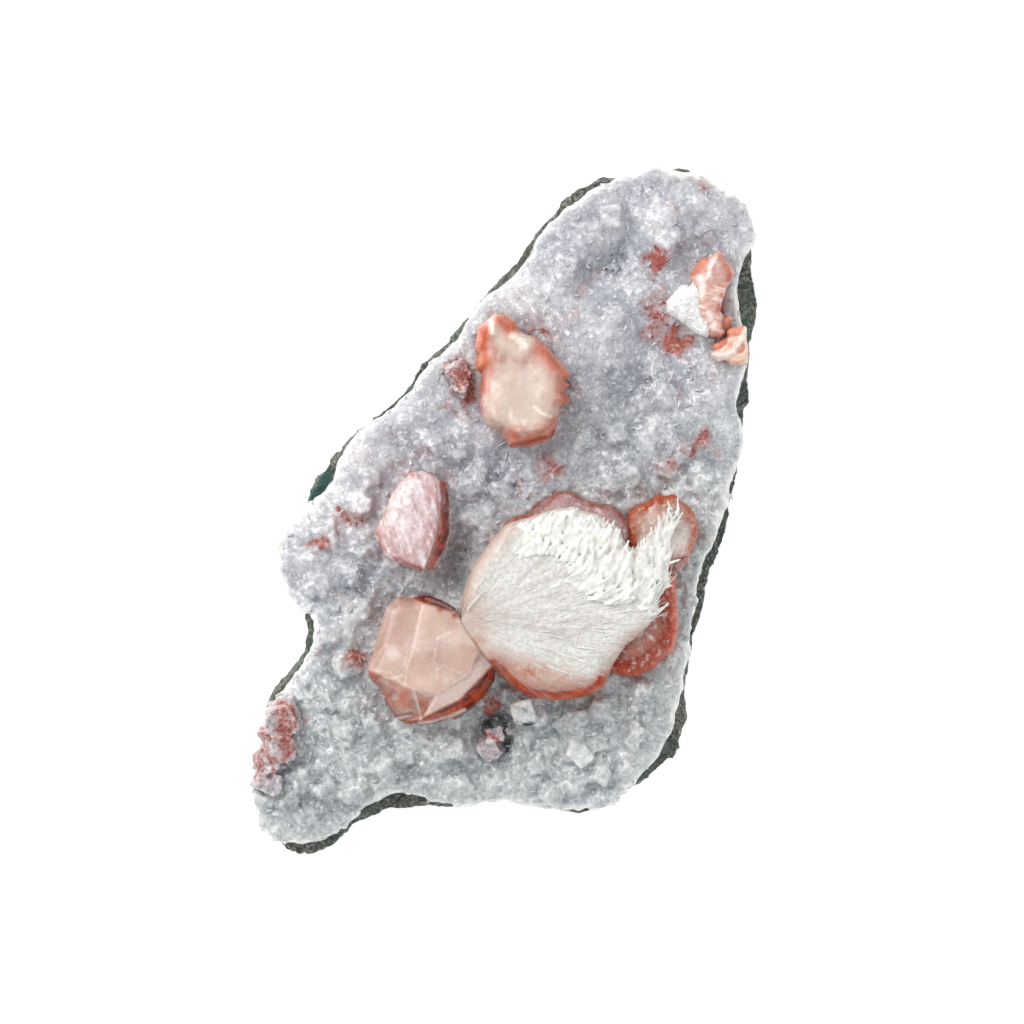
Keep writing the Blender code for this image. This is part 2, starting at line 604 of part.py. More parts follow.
def footprint(corners):
    """The corners seen from above, in order round their middle."""
    mid_x = sum(corner[0] for corner in corners) / len(corners)
    mid_y = sum(corner[1] for corner in corners) / len(corners)
    upper = [corner for corner in corners if corner[2] > FACE]
    return sorted(
        [(x, y) for x, y, z in upper], key=lambda at: math.atan2(at[1] - mid_y, at[0] - mid_x)
    )


def small_square(each):
    """A square footprint about a small crystal."""
    (x, y, _), half = each["at"], max(each["size"][:2]) / 2
    return [(x + a * half, y + b * half) for a, b in ((1, 1), (1, -1), (-1, -1), (-1, 1))]


def centre(objects):
    """Moves the whole specimen so that its box stands in the middle, on the ground."""
    corners = [vert.co for obj in objects for vert in obj.data.vertices]
    low = Vector(min(corner[i] for corner in corners) for i in range(3))
    high = Vector(max(corner[i] for corner in corners) for i in range(3))
    shift = Vector((-(low.x + high.x) / 2, -(low.y + high.y) / 2, -low.z))
    for obj in objects:
        obj.data.transform(Matrix.Translation(shift))


def finish(obj, material):
    obj.data.materials.clear()
    obj.data.materials.append(material)


def build():
    clear_scene()
    specimen = new_collection("apophyllite_specimen")
    cutters = new_collection("cutters")
    materials = make_materials()

    rock = make_rock(specimen, cutters)
    crystals = {
        "stilbite_fan": make_fan(specimen, cutters),
        "stilbite_block": lone(hull("stilbite_block", BLOCK_CORNERS, specimen), cutters),
        "stilbite_tablet": lone(hull("stilbite_tablet", TABLET_CORNERS, specimen), cutters),
        "stilbite_sheaf": lone(dome("stilbite_sheaf", SHEAF, specimen), cutters),
        "stilbite_spur": lone(hull("stilbite_spur", SPUR_CORNERS, specimen), cutters),
        "scolecite_tuft": lone(dome("scolecite_tuft", TUFT, specimen), cutters),
        "stilbite_edge_crystal": lone(hull("stilbite_edge_crystal", EDGE_CORNERS, specimen), cutters),
        "stilbite_red_cluster": cluster("stilbite_red_cluster", EDGE_CLUSTER, specimen, cutters),
        "stilbite_vug_crystals": cluster("stilbite_vug_crystals", VUG_CRYSTALS, specimen, cutters),
        "stilbite_satellite": cluster("stilbite_satellite", SATELLITE, specimen, cutters),
    }
    for later, earlier in (("stilbite_block", "stilbite_fan"), ("scolecite_tuft", "stilbite_spur")):
        body, rooms = crystals[later]
        for room in crystals[earlier][1]:
            body = boolean(body, room, "DIFFERENCE")
        keep_largest(body)
        crystals[later] = (body, rooms)

    crust = make_crust(specimen, cutters)
    occupied = [FAN["outline"], SHEAF["outline"], TUFT["outline"]]
    occupied += [lobe["outline"] for lobe in FAN_LOBES]
    occupied += [
        footprint(corners)
        for corners in (BLOCK_CORNERS, TABLET_CORNERS, SPUR_CORNERS, EDGE_CORNERS)
    ]
    occupied += [small_square(each) for each in EDGE_CLUSTER + VUG_CRYSTALS + SATELLITE]
    crust = scatter_druse(crust, occupied, cutters)
    for _, rooms in crystals.values():
        for room in rooms:
            crust = boolean(crust, room, "DIFFERENCE")
    keep_largest(crust)

    finish(rock, materials["basalt"])
    finish(crust, materials["druse"])
    for name, (body, _) in crystals.items():
        finish(body, materials[CRYSTAL_FINISH[name]])
    centre(specimen.objects)
    for obj in cutters.objects:
        obj.hide_render = True
        obj.display_type = "WIRE"


build()
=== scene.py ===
import math

import bmesh
import bpy
import numpy as np
from mathutils import Euler, Matrix, Vector
from mathutils.bvhtree import BVHTree


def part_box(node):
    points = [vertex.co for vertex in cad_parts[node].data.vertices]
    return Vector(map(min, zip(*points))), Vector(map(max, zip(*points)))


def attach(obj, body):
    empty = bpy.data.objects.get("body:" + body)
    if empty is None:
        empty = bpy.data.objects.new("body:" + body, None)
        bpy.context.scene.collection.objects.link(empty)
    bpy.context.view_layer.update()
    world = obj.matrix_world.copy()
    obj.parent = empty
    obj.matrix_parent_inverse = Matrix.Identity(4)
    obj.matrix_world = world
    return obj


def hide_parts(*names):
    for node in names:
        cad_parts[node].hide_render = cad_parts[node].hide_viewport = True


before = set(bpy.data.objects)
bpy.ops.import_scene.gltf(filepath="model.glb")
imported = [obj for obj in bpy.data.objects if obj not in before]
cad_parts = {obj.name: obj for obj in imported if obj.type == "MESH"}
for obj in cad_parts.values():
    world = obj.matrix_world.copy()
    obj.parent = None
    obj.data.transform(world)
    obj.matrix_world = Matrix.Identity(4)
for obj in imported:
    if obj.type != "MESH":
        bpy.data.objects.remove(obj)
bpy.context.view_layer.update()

mm = 0.001
weldGap = 0.005 * mm
measured = np.array([0.144, 0.267])  # from the places measured below to the model's own X and Y, mm


# Small tools for meshes, in millimetres

def newObject(name, mesh):
    piece = bpy.data.objects.new(name, mesh)
    bpy.context.scene.collection.objects.link(piece)
    return piece


def evaluated(piece):
    bpy.context.view_layer.update()
    return bpy.data.meshes.new_from_object(piece.evaluated_get(bpy.context.evaluated_depsgraph_get()))


def settled(piece):
    # the piece as a plain mesh, with its modifiers in it
    mesh = evaluated(piece)
    piece.modifiers.clear()
    piece.data = mesh
    return piece


def meshOf(name, shape):
    mesh = bpy.data.meshes.new(name)
    shape.to_mesh(mesh)
    shape.free()
    return mesh


def welded(name, node):
    # a merged copy of one of the model's solids
    shape = bmesh.new()
    shape.from_mesh(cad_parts[node].data)
    bmesh.ops.remove_doubles(shape, verts=shape.verts, dist=weldGap)
    return newObject(name, meshOf(name, shape))


def refined(piece, voxel, swell=0.0):
    # an even skin of small faces over the piece, moved out by swell
    if swell:
        grow = piece.modifiers.new("Grow", "DISPLACE")
        grow.strength = swell * mm
        grow.mid_level = 0
    skin = piece.modifiers.new("Skin", "REMESH")
    skin.mode = "VOXEL"
    skin.voxel_size = voxel * mm
    skin.use_smooth_shade = True
    return settled(piece)


def thinned(piece, share):
    # the piece with fewer and larger faces where it is plain
    fewer = piece.modifiers.new("Fewer", "DECIMATE")
    fewer.ratio = share
    return settled(piece)


def vectorsOf(rows, key):
    found = np.empty(len(rows) * 3, np.float32)
    rows.foreach_get(key, found)
    return found.reshape(-1, 3).astype(float)


def pointsOf(piece):
    return vectorsOf(piece.data.vertices, "co") / mm


def movePoints(piece, places):
    piece.data.vertices.foreach_set("co", (places * mm).astype(np.float32).ravel())
    piece.data.update()


def normalsOf(piece):
    return vectorsOf(piece.data.vertex_normals, "vector")


def edgesOf(piece):
    found = np.empty(len(piece.data.edges) * 2, np.int32)
    piece.data.edges.foreach_get("vertices", found)
    return found.reshape(-1, 2)


def paint(piece, name, values):
    # a number for each point of the mesh, which its material reads
    layer = piece.data.attributes.get(name) or piece.data.attributes.new(name, "FLOAT", "POINT")
    layer.data.foreach_set("value", np.asarray(values, np.float32))


def evened(values, edges, rounds):
    # values averaged with their neighbours, again and again
    count = len(values)
    a, b = edges[:, 0], edges[:, 1]
    degree = np.bincount(a, minlength=count) + np.bincount(b, minlength=count)
    for _ in range(rounds):
        total = np.bincount(a, values[b], count) + np.bincount(b, values[a], count)
        values = 0.5 * values + 0.5 * total / np.maximum(degree, 1)
    return values


def smooth(values, low, high):
    share = np.clip((np.asarray(values, float) - low) / (high - low), 0, 1)
    return share * share * (3 - 2 * share)


def hashed(cells, seed):
    # a repeatable number from 0 to 1 for each whole-numbered cell
    x, y, z = np.moveaxis(cells, -1, 0)
    mixed = x * 73856093 ^ y * 19349663 ^ z * 83492791 ^ seed * 2654435
    mixed = (mixed ^ (mixed >> 13)) * 1274126177 & 0x7FFFFFFF
    mixed = (mixed ^ (mixed >> 15)) * 668265263 & 0x7FFFFFFF
    return mixed / 0x7FFFFFFF


def rolling(points, size, seed=0, octaves=3):
    # soft noise of about -1 to 1 whose largest lumps are one size across
    total, weight, scale = 0.0, 1.0, 1.0
    for octave in range(octaves):
        at = points / size * scale + 37.7
        cell = np.floor(at).astype(np.int64)
        part = at - cell
        ease = part * part * (3 - 2 * part)
        value = 0.0
        for corner in range(8):
            offset = np.array([corner & 1, corner >> 1 & 1, corner >> 2 & 1])
            share = np.prod(np.where(offset, ease, 1 - ease), axis=1)
            value = value + hashed(cell + offset, seed + octave) * share
        total = total + (value * 2 - 1) * weight
        weight, scale = weight * 0.5, scale * 2.03
    return total


def cobbled(points, size, seed=0):
    # how far the nearest of many scattered middles is, in sizes, and a number from 0 to 1 for it
    at = points / size + 51.3
    cell = np.floor(at).astype(np.int64)
    first = np.full(len(at), 9.0)
    mark = np.zeros(len(at))
    for offset in np.ndindex(3, 3, 3):
        near = cell + np.array(offset) - 1
        middle = near + np.stack([hashed(near, seed + k) for k in (11, 12, 13)], 1)
        gap = np.linalg.norm(at - middle, axis=1)
        closer = gap < first
        mark = np.where(closer, hashed(near, seed + 14), mark)
        first = np.where(closer, gap, first)
    return first, mark


def fromOutline(xy, outline):
    # distance to a closed outline, positive inside it, and how far along it the nearest point is
    line = np.asarray(outline, float) + measured
    start, end = line, np.roll(line, -1, axis=0)
    nearest, along = np.full(len(xy), 1e9), np.zeros(len(xy))
    inside, passed = np.zeros(len(xy), bool), 0.0
    for a, b in zip(start, end):
        run = b - a
        length = np.hypot(*run)
        share = np.clip(((xy - a) @ run) / length**2, 0, 1)
        gap = np.hypot(*(a + share[:, None] * run - xy).T)
        closer = gap < nearest
        nearest = np.where(closer, gap, nearest)
        along = np.where(closer, passed + share * length, along)
        crosses = (a[1] > xy[:, 1]) != (b[1] > xy[:, 1])
        reach = a[0] + (xy[:, 1] - a[1]) / (b[1] - a[1] if b[1] != a[1] else 1e-9) * (b[0] - a[0])
        inside ^= crosses & (xy[:, 0] < reach)
        passed += length
    return np.where(inside, nearest, -nearest), along


def awayFrom(xy, route):
    # distance to a drawn line of points
    route = np.asarray(route, float) + measured
    nearest = np.full(len(xy), 1e9)
    if len(route) == 1:
        nearest = np.hypot(*(xy - route[0]).T)
    for a, b in zip(route, route[1:]):
        run = b - a
        share = np.clip(((xy - a) @ run) / max(run @ run, 1e-9), 0, 1)
        nearest = np.minimum(nearest, np.hypot(*(a + share[:, None] * run - xy).T))
    return nearest


def stroke(xy, route, width):
    # 1 on the line, falling softly to 0 at width from it
    return 1 - smooth(awayFrom(xy, route), 0, width)


def drawn(xy, lines):
    # the strongest of several soft lines at each point, each a route, a width and a strength
    return strongest(*(stroke(xy, route, width) * strength for route, width, strength in lines))


def strongest(*masks):
    # the largest of several masks at each point
    return np.max(masks, axis=0)


def columns(*axes):
    # three columns of coordinates for a pattern, 0 for what isn't given
    return np.column_stack([*axes, *[0 * axes[0]] * (3 - len(axes))])


def slab(name, outline, low, high, voxel):
    # a flat outline drawn up from low to high, in an even skin
    curve = bpy.data.curves.new(name, "CURVE")
    curve.dimensions = "2D"
    curve.fill_mode = "BOTH"
    curve.extrude = (high - low) / 2 * mm
    spline = curve.splines.new("POLY")
    spline.points.add(len(outline) - 1)
    spline.use_cyclic_u = True
    for point, (x, y) in zip(spline.points, outline):
        point.co = ((x + measured[0]) * mm, (y + measured[1]) * mm, 0, 1)
    guide = newObject(name + "Guide", curve)
    shape = bmesh.new()
    shape.from_mesh(evaluated(guide))
    bpy.data.objects.remove(guide)
    bmesh.ops.remove_doubles(shape, verts=shape.verts, dist=weldGap)
    bmesh.ops.translate(shape, vec=(0, 0, (low + high) / 2 * mm), verts=shape.verts)
    return refined(newObject(name, meshOf(name, shape)), voxel)


def finished(piece, material, slotName, *nodes):
    piece.data.materials.clear()
    piece.data.materials.append(material)
    piece.data.shade_smooth()
    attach(piece, "root")
    if nodes:
        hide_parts(*nodes)
    print("made", piece.name, len(piece.data.polygons), "faces")
    return piece


# Small tools for node trees

def colour(red, green, blue):
    # from the 0 to 255 of a colour picker
    def linear(part):
        part /= 255
        return part / 12.92 if part < 0.04045 else ((part + 0.055) / 1.055) ** 2.4
    return linear(red), linear(green), linear(blue), 1.0


def feed(tree, sockets, inputs):
    for key, value in inputs.items():
        if isinstance(value, bpy.types.NodeSocket):
            tree.links.new(value, sockets[key])
        else:
            sockets[key].default_value = value


def put(tree, kind, inputs=None, **settings):
    # a node with its settings, and a value or a link for each of the inputs that are named
    node = tree.nodes.new(kind)
    for key, value in settings.items():
        setattr(node, key, value)
    feed(tree, node.inputs, inputs or {})
    return node


def blended(tree, amount, under, over):
    return put(tree, "ShaderNodeMix", {0: amount, 6: under, 7: over}, data_type="RGBA").outputs[2]


def sums(tree, operation, *values, clamp=False):
    node = put(tree, "ShaderNodeMath", dict(enumerate(values)), operation=operation, use_clamp=clamp)
    return node.outputs[0]


def times(tree, first, second):
    return sums(tree, "MULTIPLY", first, second)


def timesPlus(tree, first, second, third):
    return sums(tree, "MULTIPLY_ADD", first, second, third)


def perMetre(tree, size):
    # how many of a size in millimetres there are in a metre
    return sums(tree, "DIVIDE", 1000.0, size)


def vectors(tree, operation, *values, **inputs):
    inputs.update(enumerate(values))
    return put(tree, "ShaderNodeVectorMath", inputs, operation=operation).outputs[0]


def here(tree):
    # each point's place on its object
    return put(tree, "ShaderNodeTexCoord").outputs["Object"]


def noise(tree, where, scale, **inputs):
    return put(tree, "ShaderNodeTexNoise", {"Vector": where, "Scale": scale, **inputs}).outputs["Fac"]


def facetsOf(tree, size, lean):
    normal = put(tree, "ShaderNodeNewGeometry").outputs["Normal"]
    return use(tree, facets, {"Size mm": size, "Lean": lean, "Normal": normal})


def bumped(tree, **inputs):
    return put(tree, "ShaderNodeBump", inputs).outputs[0]


def ranged(tree, value, low, high, toLow=0.0, toHigh=1.0):
    return put(
        tree, "ShaderNodeMapRange",
        {"Value": value, "From Min": low, "From Max": high, "To Min": toLow, "To Max": toHigh},
        interpolation_type="SMOOTHSTEP",
    ).outputs[0]


def ramp(tree, value, stops):
    node = put(tree, "ShaderNodeValToRGB", {"Fac": value})
    band = node.color_ramp
    while len(band.elements) < len(stops):
        band.elements.new(0.5)
    for element, (place, shade) in zip(band.elements, stops):
        element.position = place
        element.color = shade
    return node.outputs["Color"]


def reads(tree, name):
    return put(tree, "ShaderNodeAttribute", attribute_name=name).outputs["Fac"]


def groupOf(name, takes, gives):
    tree = bpy.data.node_groups.new(name, "ShaderNodeTree")
    for label, kind, value in takes:
        tree.interface.new_socket(label, in_out="INPUT", socket_type=kind).default_value = value
    for label, kind in gives:
        tree.interface.new_socket(label, in_out="OUTPUT", socket_type=kind)
    return tree, put(tree, "NodeGroupInput").outputs, put(tree, "NodeGroupOutput").inputs


def use(tree, group, inputs):
    return put(tree, "ShaderNodeGroup", inputs, node_tree=group).outputs


def newMaterial(name, **constants):
    material = bpy.data.materials.new(name)
    material.use_nodes = True
    tree = material.node_tree
    shader = tree.nodes["Principled BSDF"]
    shader.subsurface_method = "RANDOM_WALK"
    for key, value in constants.items():
        shader.inputs[key].default_value = value
    return material, tree, shader


# Shared effects

def makeFacets():
    # each small crystal face of a druse leans its own way, so a few of them glint
    tree, given, back = groupOf(
        "crystalFacets",
        [("Size mm", "NodeSocketFloat", 1.5), ("Lean", "NodeSocketFloat", 0.3),
         ("Normal", "NodeSocketVector", (0, 0, 0))],
        [("Normal", "NodeSocketVector"), ("Mark", "NodeSocketFloat"), ("Outline", "NodeSocketFloat")],
    )
    place, half = here(tree), (0.5, 0.5, 0.5)
    wander = put(tree, "ShaderNodeTexNoise", {"Vector": place, "Scale": 260.0, "Detail": 2.0})
    drift = vectors(tree, "SUBTRACT", wander.outputs["Color"], half)
    moved = vectors(tree, "MULTIPLY_ADD", drift, (0.0022, 0.0022, 0.0022), place)
    often = perMetre(tree, given["Size mm"])
    cell, border = (
        put(tree, "ShaderNodeTexVoronoi", {"Vector": moved, "Scale": often}, feature=feature).outputs
        for feature in ("F1", "DISTANCE_TO_EDGE")
    )
    lean = vectors(tree, "SCALE", vectors(tree, "SUBTRACT", cell["Color"], half), Scale=given["Lean"])
    feed(tree, back, {
        "Normal": vectors(tree, "NORMALIZE", vectors(tree, "ADD", given["Normal"], lean)),
        "Mark": put(tree, "ShaderNodeSeparateColor", {0: cell["Color"]}).outputs[0],
        "Outline": ranged(tree, border["Distance"], 0.0, 0.13, 1.0, 0.0),
    })
    return tree


def makeFlecks():
    # granular red iron stain inside a soft patch
    tree, given, back = groupOf(
        "ironFlecks", [("Patch", "NodeSocketFloat", 0.0), ("Grain mm", "NodeSocketFloat", 0.7)],
        [("Amount", "NodeSocketFloat"), ("Colour", "NodeSocketColor")],
    )
    place, patch, often = here(tree), given["Patch"], perMetre(tree, given["Grain mm"])
    grain = noise(tree, place, often, Detail=4.0, Roughness=0.75, Distortion=0.8)
    broad = noise(tree, place, sums(tree, "DIVIDE", often, 4.0), Detail=2.0)
    mixed = sums(tree, "ADD", times(tree, grain, 0.7), times(tree, broad, 0.3))
    height = sums(tree, "SUBTRACT", timesPlus(tree, patch, 0.20, mixed), 0.635)
    shown = sums(tree, "MAXIMUM", ranged(tree, height, 0.0, 0.14, 0.0, 0.88), times(tree, patch, 0.40))
    feed(tree, back, {
        "Amount": times(tree, shown, ranged(tree, patch, 0.0, 0.3)),
        "Colour": ramp(tree, mixed, [
            (0.36, colour(200, 130, 106)), (0.47, colour(180, 80, 50)), (0.57, colour(150, 46, 24)),
            (0.70, colour(106, 26, 14)),
        ]),
    })
    return tree


def makeSilk():
    # fine fibres that run across a rim or out from an apex, from two painted distances
    tree, given, back = groupOf(
        "silkFibres",
        [("Across", "NodeSocketFloat", 0.0), ("Along", "NodeSocketFloat", 0.0),
         ("Fibre mm", "NodeSocketFloat", 0.4), ("Length", "NodeSocketFloat", 0.06)],
        [("Streak", "NodeSocketFloat"), ("Broad", "NodeSocketFloat")],
    )
    across, along = (sums(tree, "DIVIDE", given[way], given["Fibre mm"]) for way in ("Across", "Along"))
    along = times(tree, along, given["Length"])
    spot = put(tree, "ShaderNodeCombineXYZ", {0: across, 1: along}).outputs[0]
    feed(tree, back, {
        "Streak": noise(tree, spot, 1.0, Detail=4.0, Roughness=0.65, Distortion=0.3),
        "Broad": noise(tree, spot, 0.22, Detail=2.0, Distortion=0.4),
    })
    return tree


def makeClouds():
    # slow changes of colour inside a mineral
    tree, given, back = groupOf(
        "mineralClouds", [("Size mm", "NodeSocketFloat", 10.0), ("Detail", "NodeSocketFloat", 3.0)],
        [("Value", "NodeSocketFloat")],
    )
    cloud = noise(tree, here(tree), perMetre(tree, given["Size mm"]), Detail=given["Detail"],
                  Roughness=0.6, Distortion=0.4)
    feed(tree, back, {"Value": ranged(tree, cloud, 0.3, 0.7)})
    return tree


def makeWisps():
    # soft swirls and thin pale curved lines, as at the faces inside clear intergrown crystals
    tree, given, back = groupOf(
        "innerWisps", [("Size mm", "NodeSocketFloat", 2.6)],
        [("Wisp", "NodeSocketFloat"), ("Arc", "NodeSocketFloat")],
    )
    place, often = here(tree), perMetre(tree, given["Size mm"])
    swirl = noise(tree, place, often, Detail=4.0, Roughness=0.62, Distortion=1.8)
    curl = noise(tree, place, times(tree, often, 0.8), Detail=1.0, Distortion=1.2)
    arc = ranged(tree, sums(tree, "ABSOLUTE", sums(tree, "SUBTRACT", curl, 0.52)), 0.0, 0.019, 1.0, 0.0)
    feed(tree, back, {
        "Wisp": ranged(tree, swirl, 0.3, 0.7),
        "Arc": times(tree, arc, ranged(tree, swirl, 0.40, 0.56)),
    })
    return tree


facets, flecks, silk, clouds, wisps = makeFacets(), makeFlecks(), makeSilk(), makeClouds(), makeWisps()
print("shared effects made")


# Repeats: small crystals, flakes and grains set on chosen places

def plantTree(name):
    tree = bpy.data.node_groups.new(name, "GeometryNodeTree")
    tree.is_modifier = True
    sockets = {
        label: tree.interface.new_socket(label, in_out="INPUT", socket_type=kind).identifier
        for label, kind in (("Places", "NodeSocketGeometry"), ("Kinds", "NodeSocketCollection"),
                            ("Seed", "NodeSocketInt"), ("Overall size", "NodeSocketFloat"),
                            ("Finish", "NodeSocketMaterial"))
    }
    tree.interface.new_socket("Planted", in_out="OUTPUT", socket_type="NodeSocketGeometry")
    given = put(tree, "NodeGroupInput").outputs
    kinds = put(tree, "GeometryNodeCollectionInfo", {
        "Collection": given["Kinds"], "Separate Children": True, "Reset Children": True,
    })
    which = put(tree, "FunctionNodeRandomValue", {"Seed": given["Seed"], 4: 0, 5: 99}, data_type="INT")
    turn, size = (
        put(tree, "GeometryNodeInputNamedAttribute", {"Name": label}, data_type="FLOAT_VECTOR").outputs[0]
        for label in ("turn", "size")
    )
    stood = put(tree, "GeometryNodeInstanceOnPoints", {
        "Points": put(tree, "GeometryNodeMeshToPoints", {"Mesh": given["Places"]}).outputs[0],
        "Instance": kinds.outputs[0], "Pick Instance": True, "Instance Index": which.outputs[2],
        "Rotation": put(tree, "FunctionNodeEulerToRotation", {0: turn}).outputs[0],
        "Scale": vectors(tree, "SCALE", size, Scale=given["Overall size"]),
    })
    whole = put(tree, "GeometryNodeRealizeInstances", {"Geometry": stood.outputs[0]})
    coated = put(tree, "GeometryNodeSetMaterial",
                 {"Geometry": whole.outputs[0], "Material": given["Finish"]})
    put(tree, "NodeGroupOutput", {"Planted": coated.outputs[0]})
    return tree, sockets


planter, planterSockets = plantTree("plantSmallPieces")


def planted(name, places, turns, sizes, kinds, material, seed):
    # one mesh of small pieces: each place takes one of the kinds, turned and sized
    mesh = bpy.data.meshes.new(name)
    mesh.from_pydata([tuple(place) for place in np.asarray(places) * mm], [], [])
    piece = newObject(name, mesh)
    for label, rows in (("turn", turns), ("size", sizes)):
        layer = mesh.attributes.new(label, "FLOAT_VECTOR", "POINT")
        layer.data.foreach_set("vector", np.asarray(rows, np.float32).ravel())
    shelf = bpy.data.collections.new(name + "Kinds")
    for kind in kinds:
        shelf.objects.link(kind)
    grow = piece.modifiers.new("Plant", "NODES")
    grow.node_group = planter
    for label, value in (("Kinds", shelf), ("Seed", seed), ("Overall size", 1.0), ("Finish", material)):
        grow[planterSockets[label]] = value
    settled(piece)
    for kind in kinds:
        bpy.data.objects.remove(kind)
    bpy.data.collections.remove(shelf)
    for label in ("turn", "size"):
        spare = piece.data.attributes.get(label)
        if spare:
            piece.data.attributes.remove(spare)
    return piece


def blockKind(name, cut):
    # a cube of side 1 with its corners cut, as apophyllite grows
    shape = bmesh.new()
    bmesh.ops.create_cube(shape, size=mm)
    bmesh.ops.bevel(shape, geom=shape.verts[:], offset=cut * mm, segments=1, affect="VERTICES")
    return bpy.data.objects.new(name, meshOf(name, shape))


leafRings, leafSides = 5, 8


def leafKind(name, bend, tip):
    # a flake 1 long, laid along X, thickest near its root, with its tip raised
    shape = bmesh.new()
    turns = [2 * math.pi * side / leafSides for side in range(leafSides)]
    rows = []
    for ring in range(leafRings + 1):
        share = ring / leafRings
        belly = 0.55 + 0.45 * math.sin(math.pi * min(share * 1.25, 1))
        width = 0.5 * belly * (1 - (1 - tip) * share**3)
        thick = 0.5 * (1 - 0.55 * share)
        rise = bend * share**2
        rows.append([
            shape.verts.new((share * mm, width * math.cos(turn) * mm,
                             (rise + thick * math.sin(turn)) * mm))
            for turn in turns
        ])
    for lower, upper in zip(rows, rows[1:]):
        for side in range(leafSides):
            after = (side + 1) % leafSides
            shape.faces.new((lower[side], lower[after], upper[after], upper[side]))
    shape.faces.new(rows[0][::-1])
    shape.faces.new(rows[-1])
    bmesh.ops.recalc_face_normals(shape, faces=shape.faces)
    return bpy.data.objects.new(name, meshOf(name, shape))


def sown(piece, look, weight, seed):
    # random places on a mesh, more where the weight of its points is more, and none too near another
    chance = np.random.default_rng(seed)
    spacing = look["spacing"]
    mesh = piece.data
    mesh.calc_loop_triangles()
    corners = np.empty(len(mesh.loop_triangles) * 3, np.int32)
    mesh.loop_triangles.foreach_get("vertices", corners)
    corners = corners.reshape(-1, 3)
    places, normals = pointsOf(piece), normalsOf(piece)
    a, b, c = (places[corners[:, k]] for k in range(3))
    area = np.linalg.norm(np.cross(b - a, c - a), axis=1) * weight[corners].mean(1)
    picked = chance.choice(len(corners), look["tried"], p=area / area.sum())
    u, v = chance.random(look["tried"]), chance.random(look["tried"])
    u, v = np.where(u + v > 1, 1 - u, u), np.where(u + v > 1, 1 - v, v)
    at = a[picked] * (1 - u - v)[:, None] + b[picked] * u[:, None] + c[picked] * v[:, None]
    kept, taken = [], {}
    for index, spot in enumerate(at):
        x, y, z = np.floor(spot / spacing).astype(int)
        near = [
            other
            for i in (-1, 0, 1) for j in (-1, 0, 1) for k in (-1, 0, 1)
            for other in taken.get((x + i, y + j, z + k), ())
        ]
        if all(math.dist(spot, other) > spacing for other in near):
            taken.setdefault((x, y, z), []).append(spot)
            kept.append(index)
    return at[kept], normals[corners[picked[kept], 0]], chance


def someOf(at, normals, chance, most):
    keep = chance.permutation(len(at))[:most]
    return at[keep], normals[keep]


def leaning(normals, lean, chance, flow=None):
    # turns that stand a piece on the surface, leaning at random, its X along the flow if given
    turns = []
    for index, normal in enumerate(normals):
        up = Vector(normal).normalized()
        if flow is None:
            along = Vector((0, 0, 1)) if abs(up.z) < 0.7 else Vector((1, 0, 0))
        else:
            along = Vector(flow[index])
        side = (along - up * along.dot(up)).normalized()
        stood = Matrix((side, up.cross(side), up)).transposed().to_quaternion()
        tip = chance.uniform(-lean, lean, 3)
        if flow is None:
            spin = Euler((tip[0], tip[1], chance.uniform(0, 6.28)))
        else:
            spin = Euler((tip[0], -abs(tip[1]), tip[2] * 0.5))
        turns.append(tuple((stood @ spin.to_quaternion()).to_euler()))
    return np.array(turns)


# Basalt: the dark fractured plate under everything

basaltLook = dict(
    skin=0.8, swell=0.45, breaks=5.0, breakDepth=1.1, grain=1.6, grainDepth=0.42, vesicleSize=5.5,
    vesicleDepth=0.9,
)


def makeBasalt():
    look = basaltLook
    piece = refined(welded("basaltPlate", "basalt_matrix"), look["skin"], look["swell"])
    places, normals = pointsOf(piece), normalsOf(piece)
    mark = cobbled(places, look["breaks"], 5)[1]
    facet = (mark - 0.5) * look["breakDepth"] + rolling(places, look["breaks"] * 1.6, 6, 2) * 0.5
    facet = evened(facet, edgesOf(piece), 1)
    near, kind = cobbled(places, look["vesicleSize"], 9)
    hollow = (1 - smooth(near, 0.06, 0.16 + 0.16 * kind)) * (kind > 0.55)
    depth = facet - hollow * look["vesicleDepth"]
    depth = depth + rolling(places, look["grain"], 7) * look["grainDepth"]
    flat = smooth(places[:, 2], 0.2, 2.5)  # the face it lies on stays flat
    movePoints(piece, places + normals * (depth * np.maximum(flat, 0.12) - 0.45)[:, None])
    places = pointsOf(piece)
    places[:, 2] = np.maximum(places[:, 2], 0)
    movePoints(piece, places)
    green = stroke(places[:, :2], [(-47, 8), (-46, 5), (-50, 3.6)], 3.4) * smooth(places[:, 2], 10, 15)
    green = green + 0.55 * stroke(places[:, :2], [(27.5, -75)], 2.6)
    seam = smooth(places[:, 2] + rolling(places, 4, 8) * 1.2, 13.0, 17.5)
    paint(piece, "green", np.clip(green + 0.28 * seam * (kind > 0.4), 0, 1))
    paint(piece, "hollow", hollow)
    return piece


